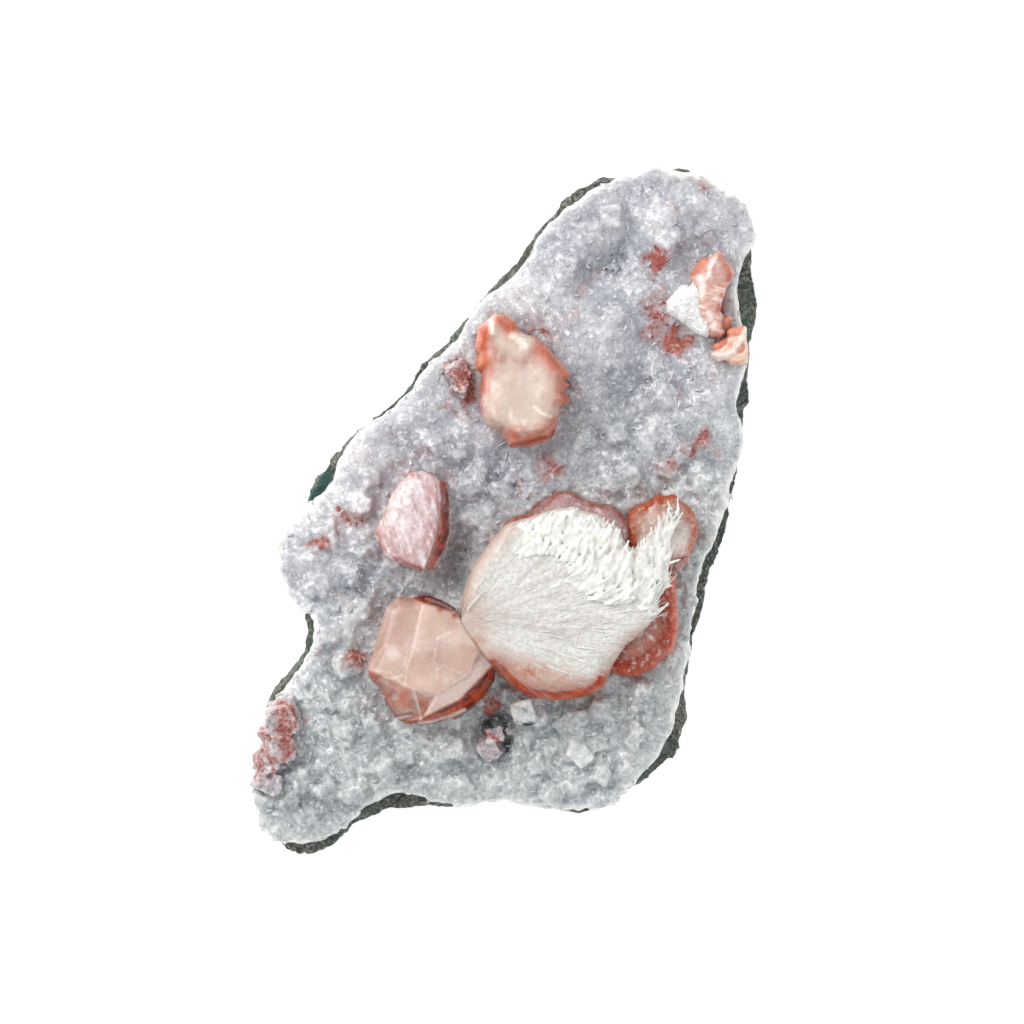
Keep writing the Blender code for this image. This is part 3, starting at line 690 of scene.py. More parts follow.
def basaltFinish():
    material, tree, shader = newMaterial("basalt")
    broad = use(tree, clouds, {"Size mm": 16.0, "Detail": 4.0})["Value"]
    grain = noise(tree, here(tree), 1100.0, Detail=4.0, Roughness=0.75)
    body = ramp(tree, grain,
                [(0.36, colour(40, 44, 40)), (0.50, colour(94, 99, 93)), (0.64, colour(178, 182, 172))])
    body = blended(tree, times(tree, broad, 0.45), body, colour(112, 104, 88))
    crystals = put(tree, "ShaderNodeTexVoronoi", {"Vector": here(tree), "Scale": 520.0}).outputs
    chosen = put(tree, "ShaderNodeSeparateColor", {0: crystals["Color"]}).outputs[0]
    fleck = ranged(tree, crystals["Distance"], 0.12, 0.2, 1.0, 0.0)
    fleck = times(tree, fleck, ranged(tree, chosen, 0.5, 0.6))
    fleck = times(tree, fleck, ranged(tree, broad, 0.1, 0.8, 1.0, 0.3))
    body = blended(tree, times(tree, fleck, 0.66), body, colour(200, 202, 190))
    green = times(tree, reads(tree, "green"), ranged(tree, grain, 0.25, 0.55, 0.55, 1.0))
    body = blended(tree, green, body, colour(44, 84, 80))
    body = blended(tree, times(tree, reads(tree, "hollow"), 0.55), body, colour(150, 160, 148))
    feed(tree, shader.inputs, {
        "Base Color": body,
        "Roughness": ranged(tree, grain, 0.3, 0.7, 0.74, 0.95),
        "Normal": bumped(tree, Height=grain, Strength=0.55, Distance=0.0006),
    })
    return material


basalt = makeBasalt()
finished(basalt, basaltFinish(), "basalt", "basalt_matrix")


# Crust: the pale druse that covers the plate, with its small crystals grown into it

crustLook = dict(
    coarse=1.0, skin=0.56, swell=0.4, cobble=6.4, cobbleHeight=1.0, pebble=2.0, pebbleHeight=0.18,
    grain=0.07, smoothAbove=14.0, rimWidth=2.6, kept=0.6,
)
blockLook = dict(tried=30000, spacing=1.7, small=1.4, large=3.7, sunk=0.30, lean=0.55, most=3000)
# the largest of them: place, size, turn
heroBlocks = [
    (5.0, -52.3, 6.2, 0.3), (20, -64, 5.0, 0.7), (24.5, -61, 3.8, 0.2), (-22, -60, 4.0, 0.5),
    (-16, -59.6, 3.8, 0.9), (-25.4, -64.5, 3.4, 0.2), (-14.6, -72.2, 3.2, 0.6), (8, -67, 3.8, 0.4),
    (33, -60, 3.6, 0.8), (15, -56, 3.8, 0.6),
]

# iron stains: place, half width and half height, strength
stains = [
    (51.5, 84, 3.4, 2.0, 0.8), (48, 86, 5.5, 1.2, 0.5), (45.5, 78, 1.2, 1.6, 0.55),
    (39.5, 64.5, 2.4, 3.6, 1.5), (37.5, 60.5, 1.2, 1.4, 0.7), (38.5, 55, 2.2, 2.6, 0.7),
    (40, 51.5, 3.6, 4.6, 1.2), (45, 44, 5.0, 3.6, 1.5), (38.4, 46.5, 3.2, 3.4, 1.0),
    (20.5, 57, 1.8, 3.4, 0.6), (17, 50, 2.2, 2.4, 0.5), (18.5, 24, 0.9, 0.9, 0.7),
    (46, 30, 0.9, 2.4, 0.5), (55, 37, 1.8, 1.6, 0.5), (54.5, 33.5, 1.6, 2.0, 0.4),
    (22.5, 61.5, 1.6, 1.8, 0.45), (53, 69.5, 1.4, 1.6, 0.4), (51, 17.8, 4.0, 3.0, 1.2),
    (42.6, 11.4, 3.8, 3.0, 1.1), (12.5, 11.2, 4.4, 3.0, 1.1), (5, 6, 2.0, 2.0, 0.6),
    (32, 21.5, 1.4, 1.2, 0.35), (-14, 26, 1.8, 2.0, 0.6), (-30, 18.8, 2.4, 1.6, 0.3),
    (-21, 15.8, 1.8, 1.6, 0.6), (-25, 9.5, 2.6, 1.8, 0.5), (-13, 8, 1.8, 1.8, 0.5),
    (-40.5, -2.8, 4.2, 2.6, 1.1), (-48, -8.6, 3.6, 2.4, 1.4), (-34, -12, 1.4, 1.4, 0.5),
    (-41.5, -24, 1.4, 1.2, 0.5), (-12.5, -8.5, 1.6, 2.2, 0.5), (-40, -39.2, 4.0, 2.6, 1.15),
    (-48.5, -37, 1.6, 1.8, 0.6), (-52, -53, 2.4, 2.0, 0.3), (64, 76, 1.6, 2.4, 0.6),
    (-4, -51.4, 3.0, 2.6, 1.6), (-58.5, -55, 4.6, 5.6, 0.7), (-60.5, -66, 3.6, 6.4, 0.55),
    (-52.4, -54.4, 1.0, 2.6, 0.8), (-43, -2, 14, 13, 0.14), (-38, 12, 9, 7, 0.2), (9, 60, 14, 8, 0.1),
    (-12.5, 36, 3.4, 4.2, 1.05), (-9.2, 30.2, 2.4, 3.4, 1.7), (12.6, 45.6, 2.4, 1.2, 0.7),
    (7, 49.5, 3.0, 1.8, 0.5), (8.6, 46.4, 3.4, 1.7, 1.6), (-5, -48, 2.6, 2.0, 0.9),
]
# painted shade: darker lilac-grey patches for the shadows beside the large crystals, the vug and other
# darker places; and bright sugary patches: place, half width, half height, strength
shadePatches = [
    (35, 33, 15, 5, 0.55), (24, 62.5, 12, 2.6, 0.8), (30, 68, 4, 4, 0.6), (-4, 10, 10, 8, 0.5),
    (-14, -14, 5, 10, 1.0), (-18, 15.5, 3, 2.5, 0.8), (44, 66, 3, 6, 0.5), (26, 20, 10, 7, 0.35),
    (-1, -58, 4.4, 6, 1.3), (-3.4, -55.2, 3.4, 2.2, 2.4), (0.8, -61.4, 1.7, 2.4, 2.1),
    (-28, -66, 10, 6, 0.35), (36, -52, 5, 6, 0.35), (-31, -62, 6, 4, 0.3), (12, 28, 5, 6, 0.4),
    (-46, -24, 4, 5, 0.35), (-54, -64, 4.5, 6, 0.55), (18, 36, 3, 4, 0.4), (48, 17, 8, 9, 0.4),
    (-50, -74, 10, 9, 0.4), (-8, -40, 5, 12, 0.6), (47, -20, 3, 16, 0.5), (-36, -50, 4, 6, 0.5),
    (10, -51.5, 9, 2, 0.6),
]
brights = [
    (9, 57, 11, 6, 0.9), (24, 72, 8, 4.6, 0.8), (22, 81, 10, 3.6, 0.6), (39.5, 75, 4.6, 5, 0.9),
    (51, 77, 7, 5, 0.6), (24, 44, 7, 6, 0.6), (33, 57, 5, 5, 0.5), (52, 24, 10, 9, 0.4),
    (-34, 12, 9, 6, 1.0), (-46, -12, 9, 8, 1.0), (-52, -31, 5, 8, 0.9), (-40, -31, 7, 9, 0.8),
    (5, -52, 4.2, 4.2, 1.0), (20, -64, 6, 5, 0.8), (-22, -60, 6, 5, 0.45), (-52, 1, 6, 9, 1.7),
    (-38, 0, 10, 8, 1.5), (34, -58, 12, 10, 0.3), (34, -68, 6, 4, 0.5), (-8, -72, 12, 3, 0.55),
    (44, -42, 2.4, 18, 0.5), (-55, -82, 5, 3, 0.5),
]

# open cracks in the clear crystals, painted dark as the shade in them
cracks = [
    [(4.6, -51.6), (6.4, -52.8), (8.5, -53.1)], [(3.7, -48.8), (6, -49.9)],
    [(4.3, -58.4), (4.3, -61.4)], [(3, -54.9), (5.6, -55.8), (7.8, -55.6)],
]

# stretches of the edge where the basalt shows past the crust, and how far
basaltShows = [
    ([(-42, 15), (-37, 22), (-28, 28), (-21, 38), (-12.5, 45.5), (-6, 54.5), (0, 61.3), (6, 68.2),
      (9, 72.8)], 0.2),
    ([(12, 77), (15, 79.7), (18, 82.7), (22, 85.1), (26, 86.4)], 0.9),
    ([(42, 89.8), (46.5, 90.1), (50, 89.4)], 0.9), ([(64, 66), (65, 60), (65.5, 53), (64.5, 48)], 1.3),
    ([(63.5, 35), (63.6, 30), (63, 26)], 0.8),
    ([(60, 6), (59, -2), (57, -9), (54, -15), (52.4, -22), (50.6, -29), (49, -33)], 1.0),
    ([(47.6, -44), (46.5, -52), (45, -62), (40, -68), (36, -71)], 0.9),
    ([(14, -80), (18, -79.5), (23, -79)], 0.7),
    ([(-17, -77.2), (-26, -77.5), (-32, -78.4), (-38, -80.5), (-44, -86), (-52, -90), (-57, -89)], 0.7),
    ([(-52.5, -25), (-52.2, -31), (-52.2, -36)], 1.0), ([(-60.5, -48.5), (-62.8, -53)], 0.6),
    ([(-51.5, 3.5), (-49, 7), (-46, 10)], 0.9),
]


def basaltRim(xy):
    # how far the crust stands back from the basalt's edge at each place
    return drawn(xy, [(route, 4.5, far) for route, far in basaltShows])


def spotted(xy, spots):
    # the strongest of many soft oval spots at each place
    total = np.zeros(len(xy))
    for x, y, wide, high, strength in spots:
        reach = np.hypot((xy[:, 0] - x - measured[0]) / wide, (xy[:, 1] - y - measured[1]) / high)
        total = np.maximum(total, strength * (1 - smooth(reach, 0.35, 1.35)))
    return total


def shiftedFourWays(grid):
    return [np.roll(grid, step, axis) for axis in (0, 1) for step in (1, -1)]


def fromSilhouette(places):
    # how far in from the plate's edge, seen from above, each place is, up to eight cells of a grid
    cell = 1.2
    low = places[:, :2].min(0) - 3 * cell
    size = np.ceil((places[:, :2].max(0) - low) / cell).astype(int) + 4
    full = np.zeros(size, bool)
    at = np.floor((places[:, :2] - low) / cell).astype(int)
    full[at[:, 0], at[:, 1]] = True
    depth = np.zeros(size)
    for _ in range(8):
        depth += full
        full = np.logical_and.reduce([full, *shiftedFourWays(full)])
    for _ in range(2):
        depth = (depth * 2 + sum(shiftedFourWays(depth))) / 6
    return depth[at[:, 0], at[:, 1]] * cell


def underCrystals(places):
    # which places have one of the large crystals above them
    covered = np.zeros(len(places), bool)
    for name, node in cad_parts.items():
        if name in ("basalt_matrix", "druse_crust"):
            continue
        tree = BVHTree.FromPolygons([v.co for v in node.data.vertices],
                                    [tuple(p.vertices) for p in node.data.polygons])
        low, high = (np.array(corner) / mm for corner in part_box(name))
        near = np.all((places[:, :2] > low[:2]) & (places[:, :2] < high[:2]), axis=1)
        for index in np.nonzero(near)[0]:
            start = Vector((places[index, 0] * mm, places[index, 1] * mm, 0.1))
            if tree.ray_cast(start, Vector((0, 0, -1)))[0] is not None:
                covered[index] = True
    return covered


def openFace(piece):
    # how readily crystals grow at each point of the crust: on its face, clear of its edge
    places = pointsOf(piece)
    weight = smooth(normalsOf(piece)[:, 2], 0.25, 0.7) * ~underCrystals(places)
    return weight * smooth(fromSilhouette(places), 1.4, 3.2) + 1e-9


def highUp(places):
    # 0 low on the plate, 1 high up, where the crystals are smaller and rounder
    line = crustLook["smoothAbove"]
    return smooth(places[:, 1], line - 14, line + 10)


def grownBlocks(piece):
    # pseudo-cubic crystals, large and distinct low on the plate, small and sunk high up
    look = blockLook
    at, normals, chance = sown(piece, look, openFace(piece), 31)
    at, normals = someOf(at, normals, chance, look["most"])
    heroes = np.array([(x + measured[0], y + measured[1], size, turn) for x, y, size, turn in heroBlocks])
    away = np.hypot(*(at[:, None, :2] - heroes[:, :2]).transpose(2, 0, 1))
    clear = (away > heroes[:, 2] * 0.62).all(1)
    at, normals = at[clear], normals[clear]
    soft = highUp(at)
    size = look["small"] + (look["large"] - look["small"]) * chance.random(len(at)) ** 1.7
    size = size * (1 - 0.35 * soft)
    shape = chance.uniform(0.8, 1.15, (len(at), 3)) * size[:, None]
    sunk = size * (look["sunk"] + 0.22 * soft + chance.uniform(0, 0.14, len(at)))
    at = at - normals * sunk[:, None]
    turns = leaning(normals, look["lean"], chance)
    face = BVHTree.FromObject(piece, bpy.context.evaluated_depsgraph_get())
    for x, y, wide, turn in heroes:
        hit = face.ray_cast(Vector((x * mm, y * mm, 0.1)), Vector((0, 0, -1)))[0]
        at = np.vstack([at, (x, y, hit.z / mm - wide * 0.12)])
        turns = np.vstack([turns, (chance.uniform(-0.25, 0.25), chance.uniform(-0.25, 0.25), turn)])
        shape = np.vstack([shape, np.full(3, wide) * (1, 0.95, 0.8)])
    kinds = [blockKind("blockSharp", 0.05), blockKind("blockCut", 0.14), blockKind("blockWide", 0.22)]
    return planted("blocks", at, turns, shape, kinds, None, 32)


def joined(pieces):
    with bpy.context.temp_override(active_object=pieces[0], selected_editable_objects=pieces):
        bpy.ops.object.join()
    return pieces[0]


def domes(places, size, seed):
    # round lumps side by side, from 0.5 at their tops to -0.5 between them
    return 0.5 - smooth(cobbled(places, size, seed)[0], 0.05, 0.95)


def makeCrust():
    look = crustLook
    piece = refined(welded("druseCrust", "druse_crust"), look["coarse"], look["swell"])
    places, normals = pointsOf(piece), normalsOf(piece)
    inward = fromSilhouette(places)
    up = smooth(normals[:, 2], -0.1, 0.45)
    rise = domes(places, look["cobble"], 21) * look["cobbleHeight"] + rolling(places, 16, 24, 2) * 0.35
    # the outer wall goes back to where the model has it, so the basalt shows round it
    outer = (1 - up) * (inward < 3.2)
    rise = rise * up - outer * (look["swell"] + 0.1)
    places = places + normals * rise[:, None]
    level = columns(*normals[:, :2].T)
    back = basaltRim(places[:, :2]) + 0.25 + rolling(places, 2.8, 29, 3) * 0.6
    places -= level * (back * (1 - smooth(inward, 1.5, 4.5)))[:, None]
    movePoints(piece, places)
    piece = refined(joined([piece, grownBlocks(piece)]), look["skin"])
    places, normals, edges = pointsOf(piece), normalsOf(piece), edgesOf(piece)
    up = smooth(normals[:, 2], -0.1, 0.45)
    soft = highUp(places) * smooth(places[:, 2], 20, 23)
    for _ in range(3):
        for axis in range(3):
            relaxed = evened(places[:, axis], edges, 1)
            places[:, axis] += (relaxed - places[:, axis]) * (0.38 + 0.36 * soft)
    rise = domes(places, look["pebble"], 22) * look["pebbleHeight"] * (0.35 + 0.65 * soft)
    rise = rise + rolling(places, 1.0, 23) * look["grain"]
    movePoints(piece, places + normals * (rise * (0.3 + 0.7 * up))[:, None])
    places, normals = pointsOf(piece), normalsOf(piece)
    paintCrust(piece, places, normals, edges, up)
    return thinned(piece, look["kept"])


def paintForm(piece, places, normals, edges):
    # how high each point stands among its neighbours, and how sharp an edge it is on, which the finish
    # paints as shade low down and in creases and as light on high points and outer edges
    broad = evened(places[:, 2], edges, 240)
    local = evened(places[:, 2], edges, 16)
    softened = np.stack([evened(places[:, k], edges, 3) for k in range(3)], 1)
    bend = np.sum((places - softened) * normals, axis=1)
    paint(piece, "heightShade", np.clip(0.5 + (local - broad) * 0.26 + (places[:, 2] - local) * 0.4, 0, 1))
    paint(piece, "edge", np.clip(0.5 + bend * 4.0, 0, 1))


def paintCrust(piece, places, normals, edges, up):
    look = crustLook
    paintForm(piece, places, normals, edges)
    xy = places[:, :2]
    inward = fromSilhouette(places) + rolling(places, 3, 25) * 1.1
    paint(piece, "rim", (1 - smooth(inward, 0.9, 0.9 + look["rimWidth"])) * up)
    ragged = xy + np.stack([rolling(places, 3.4, 27), rolling(places, 3.4, 28)], 1) * 2.4
    paint(piece, "stain", spotted(ragged, stains) * smooth(places[:, 2], 20, 24))
    crack = drawn(xy, [(route, 0.5, 1) for route in cracks])
    # painted shade: the shadow patches and the open cracks, in one darkening mask
    paint(piece, "hollow", np.maximum(spotted(xy, shadePatches), crack * 4))
    paint(piece, "bright", spotted(xy, brights))
    paint(piece, "green", smooth(0.6 * xy[:, 0] - xy[:, 1] + rolling(places, 22, 26, 2) * 12, -28, 38))


def drusePaint(tree, facetSize, lean):
    # the crust's colours: a soft cloudy body with painted shade and light, pale wisps and arcs inside it,
    # painted glints and iron stain
    patch = use(tree, clouds, {"Size mm": 12.0, "Detail": 3.0})["Value"]
    inside = use(tree, wisps, {"Size mm": 2.1})
    # painted shade and light: darker low among the neighbours and in creases, lighter on high points and
    # sharp outer edges
    tone = timesPlus(tree, reads(tree, "heightShade"), 0.35, times(tree, patch, 0.18))
    tone = timesPlus(tree, inside["Wisp"], 0.26, tone)
    tone = timesPlus(tree, reads(tree, "edge"), 0.20, sums(tree, "ADD", tone, -0.065))
    tone = timesPlus(tree, reads(tree, "bright"), 0.21, tone)
    # painted shade: darker where the shadows, the vug and the cracks are painted
    tone = sums(tree, "MULTIPLY_ADD", reads(tree, "hollow"), -0.16, tone, clamp=True)
    lilac = ramp(tree, tone, [
        (0.0, colour(58, 58, 64)), (0.1, colour(134, 136, 147)), (0.30, colour(167, 169, 178)),
        (0.48, colour(191, 192, 198)), (0.66, colour(209, 209, 212)), (0.92, colour(238, 237, 238)),
    ])
    grey = ramp(tree, tone, [
        (0.0, colour(54, 58, 58)), (0.1, colour(132, 139, 142)), (0.30, colour(165, 171, 172)),
        (0.48, colour(190, 196, 196)), (0.66, colour(209, 213, 211)), (0.92, colour(235, 237, 233)),
    ])
    base = blended(tree, reads(tree, "green"), lilac, grey)
    facet = facetsOf(tree, facetSize, lean)
    # painted shade: thin darker lines between the small crystals
    base = blended(tree, times(tree, facet["Outline"], 0.3), base, colour(146, 149, 158))
    base = blended(tree, times(tree, inside["Arc"], 0.75), base, colour(246, 245, 243))
    fine = noise(tree, here(tree), 1300.0, Detail=2.0)
    # painted glints: a few facet cells and fine specks are painted near-white
    glint = times(tree, ranged(tree, facet["Mark"], 0.80, 0.86), ranged(tree, patch, 0.3, 0.8, 0.2, 0.9))
    glint = times(tree, glint, ranged(tree, fine, 0.44, 0.6, 0.1, 1.0))
    base = blended(tree, glint, base, colour(250, 247, 252))
    iron = use(tree, flecks, {"Patch": reads(tree, "stain"), "Grain mm": 0.9})
    return blended(tree, iron["Amount"], base, iron["Colour"]), facet, fine


def crustFinish(name):
    material, tree, shader = newMaterial(name, **{
        "IOR": 1.535, "Subsurface Weight": 0.9, "Subsurface Scale": 0.0014,
        "Subsurface Radius": (0.9, 0.95, 1.0),
    })
    base, facet, fine = drusePaint(tree, 1.5, 0.5)
    chalk = use(tree, clouds, {"Size mm": 1.4, "Detail": 3.0})["Value"]
    rim = times(tree, reads(tree, "rim"), ranged(tree, chalk, 0.1, 0.6, 0.6, 1.0))
    base = blended(tree, rim, base, colour(246, 246, 239))
    # the broken side shows the layers below the druse
    height = put(tree, "ShaderNodeSeparateXYZ", {0: here(tree)}).outputs[2]
    wave = use(tree, clouds, {"Size mm": 9.0, "Detail": 3.0})["Value"]
    level = timesPlus(tree, wave, 0.0016, height)
    band = ramp(tree, ranged(tree, level, 0.0165, 0.0262), [
        (0.0, colour(78, 92, 84)), (0.22, colour(126, 138, 128)), (0.34, colour(206, 206, 198)),
        (0.62, colour(184, 188, 192)), (1.0, colour(222, 222, 220)),
    ])
    feed(tree, shader.inputs, {
        "Base Color": blended(tree, ranged(tree, level, 0.0222, 0.0252, 1.0, 0.0), base, band),
        "Roughness": timesPlus(tree, facet["Mark"], 0.34, 0.12),
        "Normal": bumped(tree, Height=fine, Strength=0.3, Distance=0.0003, Normal=facet["Normal"]),
    })
    return material


crust = makeCrust()
finished(crust, crustFinish("druse"), "druse", "druse_crust")


# Thin bright crystal plates that stand out of the crust

plateLook = dict(tried=9000, spacing=2.6, long=2.3, thick=0.34, lean=0.95, most=700)


def plateFinish():
    material, tree, shader = newMaterial("clearPlate", **{
        "IOR": 1.535, "Transmission Weight": 0.4, "Roughness": 0.16,
    })
    facet = facetsOf(tree, 1.6, 0.12)
    feed(tree, shader.inputs, {
        "Base Color": blended(tree, facet["Mark"], colour(232, 234, 240), colour(252, 251, 252)),
        "Normal": facet["Normal"],
    })
    return material


def makePlates():
    look = plateLook
    clean = 1 - 0.94 * smooth(spotted(pointsOf(crust)[:, :2], stains), 0.2, 0.7)
    at, normals, chance = sown(crust, look, openFace(crust) * clean, 41)
    at, normals = someOf(at, normals, chance, look["most"])
    size = look["long"] * chance.uniform(0.4, 1.2, len(at))
    # standing on edge
    shape = np.column_stack([look["thick"] * chance.uniform(0.6, 1.6, len(at)),
                             size * chance.uniform(0.5, 0.9, len(at)), size])
    at = at - normals * (size * 0.24)[:, None]
    kinds = [blockKind("plateSquare", 0.001), blockKind("plateCut", 0.16)]
    turns = leaning(normals, look["lean"], chance)
    return planted("drusePlates", at, turns, shape, kinds, clearPlate, 42)


clearPlate = plateFinish()
finished(makePlates(), clearPlate, "druse")


# Stilbite: peach, pink and red crystals, each drawn up from its outline to a top of its own

def drawnUp(name, look):
    # an outline drawn up into an even skin; gives its places, how far in they are and how far round
    piece = slab(name, look["outline"], look["low"], look["wall"], look["skin"])
    places = pointsOf(piece)
    depth, around = fromOutline(places[:, :2], look["outline"])
    return piece, places, places[:, :2].copy(), np.maximum(depth, 0), around


def lifted(piece, places, look, top, wall):
    # the flat top goes to the drawn one, and the walls lean in below it; gives which places are wall
    share = np.clip((places[:, 2] - look["low"]) / (look["wall"] - look["low"]), 0, 1)
    normals = normalsOf(piece)
    side = 1 - smooth(np.abs(normals[:, 2]), 0.3, 0.7)
    places[:, 2] = look["low"] + share * (top - look["low"])
    places += normals * (side * (wall - look["tuck"] * (1 - share)))[:, None]
    movePoints(piece, places)
    return side * (1 - smooth(share, 0.8, 1.0))


def within(xy, outline, soft=0.4):
    return smooth(fromOutline(xy, outline)[0], -soft, soft)


def beyond(xy, outline):
    return np.maximum(-fromOutline(xy, outline)[0], 0)


def fibres(piece, along, across):
    # painted distances along and across a crystal's fibres, for its silk
    paint(piece, "fibreAlong", along)
    paint(piece, "fibreAcross", across)


# what a stilbite's look has where its own doesn't say
stilbiteLook = dict(
    glow=0.8, depth=2.0, clear=0.0, coat=0.1, gloss=0.5, rough=0.2, fibreLength=0.07, mottle=5.0,
    waver=0.14, grainSize=0.9, grainy=0.16, grainBump=0.5, bump=0.3, facet=1.4, lean=0.12,
)


def stilbiteFinish(name, look):
    look = {**stilbiteLook, **look}
    material, tree, shader = newMaterial(name, **{
        "IOR": 1.5, "Subsurface Weight": look["glow"], "Subsurface Scale": look["depth"] * mm,
        "Subsurface Radius": (1.0, 0.62, 0.48), "Transmission Weight": look["clear"],
        "Coat Weight": look["coat"], "Coat Roughness": 0.12, "Specular IOR Level": look["gloss"],
    })
    streak = use(tree, silk, {"Across": reads(tree, "fibreAcross"), "Along": reads(tree, "fibreAlong"),
                              "Fibre mm": look["fibre"], "Length": look["fibreLength"]})
    mottle = use(tree, clouds, {"Size mm": look["mottle"], "Detail": 4.0})["Value"]
    fine = use(tree, clouds, {"Size mm": look["grainSize"], "Detail": 4.0})["Value"]
    inward = timesPlus(tree, mottle, look["waver"], sums(tree, "ADD", reads(tree, "inward"), -0.07))
    inward = timesPlus(tree, streak["Broad"], look["waver"], sums(tree, "ADD", inward, -0.07))
    # the bands read the painted inward value, which on the block and the sheaf also carries painted light
    # and shade
    body = ramp(tree, inward, [(place / 10, shade) for place, shade in look["bands"]])
    # silk: fine lighter and darker fibres
    for low, high, shade in ((0.42, 0.72, "silkLight"), (0.46, 0.24, "silkDark")):
        share = ranged(tree, streak["Streak"], low, high, 0.0, look["silk"])
        body = blended(tree, share, body, look[shade])
    body = blended(tree, ranged(tree, fine, 0.1, 0.9, look["grainy"], 0.0), body, look["silkDark"])
    red = times(tree, reads(tree, "red"), ranged(tree, streak["Broad"], 0.25, 0.6, 0.72, 1.0))
    reds = ramp(tree, mottle, [(0.2, look["redDark"]), (0.8, look["redLight"])])
    body = blended(tree, red, body, reds)
    # the deep mask holds dark lines and layers, and on the fan a painted shade
    deep = times(tree, reads(tree, "deep"), ranged(tree, mottle, 0.0, 0.6, 0.7, 1.0))
    body = blended(tree, deep, body, look["deepest"])
    # the pale mask holds pale patches and veins, and on the block, tablet, sheaf and spur also painted
    # highlights and sheen
    pale = times(tree, reads(tree, "pale"), ranged(tree, fine, 0.1, 0.6, 0.6, 1.0))
    height = timesPlus(tree, fine, look["grainBump"], streak["Streak"])
    feed(tree, shader.inputs, {
        "Base Color": blended(tree, pale, body, look["palest"]),
        "Roughness": timesPlus(tree, fine, 0.25, look["rough"]),
        "Normal": bumped(tree, Height=height, Strength=look["bump"], Distance=0.0004,
                         Normal=facetsOf(tree, look["facet"], look["lean"])["Normal"]),
    })
    return material


def painted(piece, **masks):
    # paints every mask that the stilbite finish reads, 0 where none is given
    for name in ("inward", "red", "deep", "pale"):
        values = masks.get(name, np.zeros(len(piece.data.vertices)))
        paint(piece, name, np.clip(values, 0, 1))


# The fan: a broken sheaf of white fibres that spread from one root, with red lobes round it

fanLook = dict(
    skin=0.42, low=24.5, wall=38.0, tuck=0.3, rise=8.2, apex=(-11.4, -28.9), fibre=0.42,
    fibreLength=0.09, silk=0.85, silkLight=colour(250, 250, 246), silkDark=colour(186, 176, 168),
    bands=[(0, colour(222, 196, 180)), (0.5, colour(226, 216, 205)), (1.4, colour(232, 229, 222)),
           (10, colour(234, 232, 227))],
    redLight=colour(204, 88, 38), redDark=colour(168, 48, 14), deepest=colour(198, 184, 180),
    palest=colour(192, 136, 110), depth=1.0, glow=0.45, coat=0.0, gloss=0.3, rough=0.42, lean=0.04,
    bump=0.6, grainy=0.36, grainSize=1.1, grainBump=1.0,
    outline=[(-12, -29.2), (-10.9, -22), (-8.5, -15), (-4, -8.5), (0, -3.9), (2, -3), (6, -2),
             (10, -0.5), (14, 0.5), (18, 1), (20, 0), (24, -1), (27, -3), (30, -5), (31, -8), (33, -10),
             (35, -8), (38, -5), (40, -2), (41, -0.5), (45, 0.4), (43.6, -2.4), (42, -4.6), (42.2, -7),
             (42.4, -9), (43, -11.5), (41.2, -12.2), (41.6, -15.5), (41.2, -18.5), (39.9, -19.4),
             (39.5, -22), (40, -27), (38.5, -28), (37.5, -30), (35.5, -32), (33, -34), (31, -35.5),
             (30, -37), (27.5, -41), (27, -42.5), (25, -46), (22, -48), (18, -48.9), (14, -49.3),
             (10, -49.2), (6, -48.3), (3, -46.6), (0, -44.2), (-2.4, -41.6), (-4.9, -39.2),
             (-8.9, -34.2)],
)
flakeZone = [
    (4, -2.6), (8, -1.5), (14, 0), (20, -0.5), (27, -3.5), (31, -7), (34, -9.5), (38, -5), (41, -1),
    (46, 1), (43.5, -4), (43.5, -10), (42.5, -16), (41, -22), (41, -29), (37.6, -28.4), (35.4, -21),
    (31, -25.4), (26, -23.4), (21.5, -21.4), (17.6, -15.8), (12, -12), (6, -10.4),
]
# the fan's smooth lower face, the red line under it and its frayed right edge
fanFace = [
    (-13, -29.6), (-8, -30.6), (-4, -35), (-0.6, -37), (6.4, -38.6), (12, -40.8), (18, -42.8),
    (23, -44.6), (26, -47), (22, -52), (0, -52), (-10, -40),
]
fanLine = [
    (-2.6, -41.4), (0.4, -44.4), (3.4, -46.6), (6.4, -47.8), (10, -48.6), (14, -48.9), (17.4, -48.4),
    (21.4, -47.4), (24.4, -45.6),
]
# where the fan and the block meet
blockSeam = [(-11.4, -29), (-8, -33.2), (-5.2, -37), (-3.4, -39.6)]
fanFray = [(40.4, -19.5), (40, -27), (38, -28.4), (36.8, -30.6), (33, -34), (30.4, -36.6), (28.4, -40)]


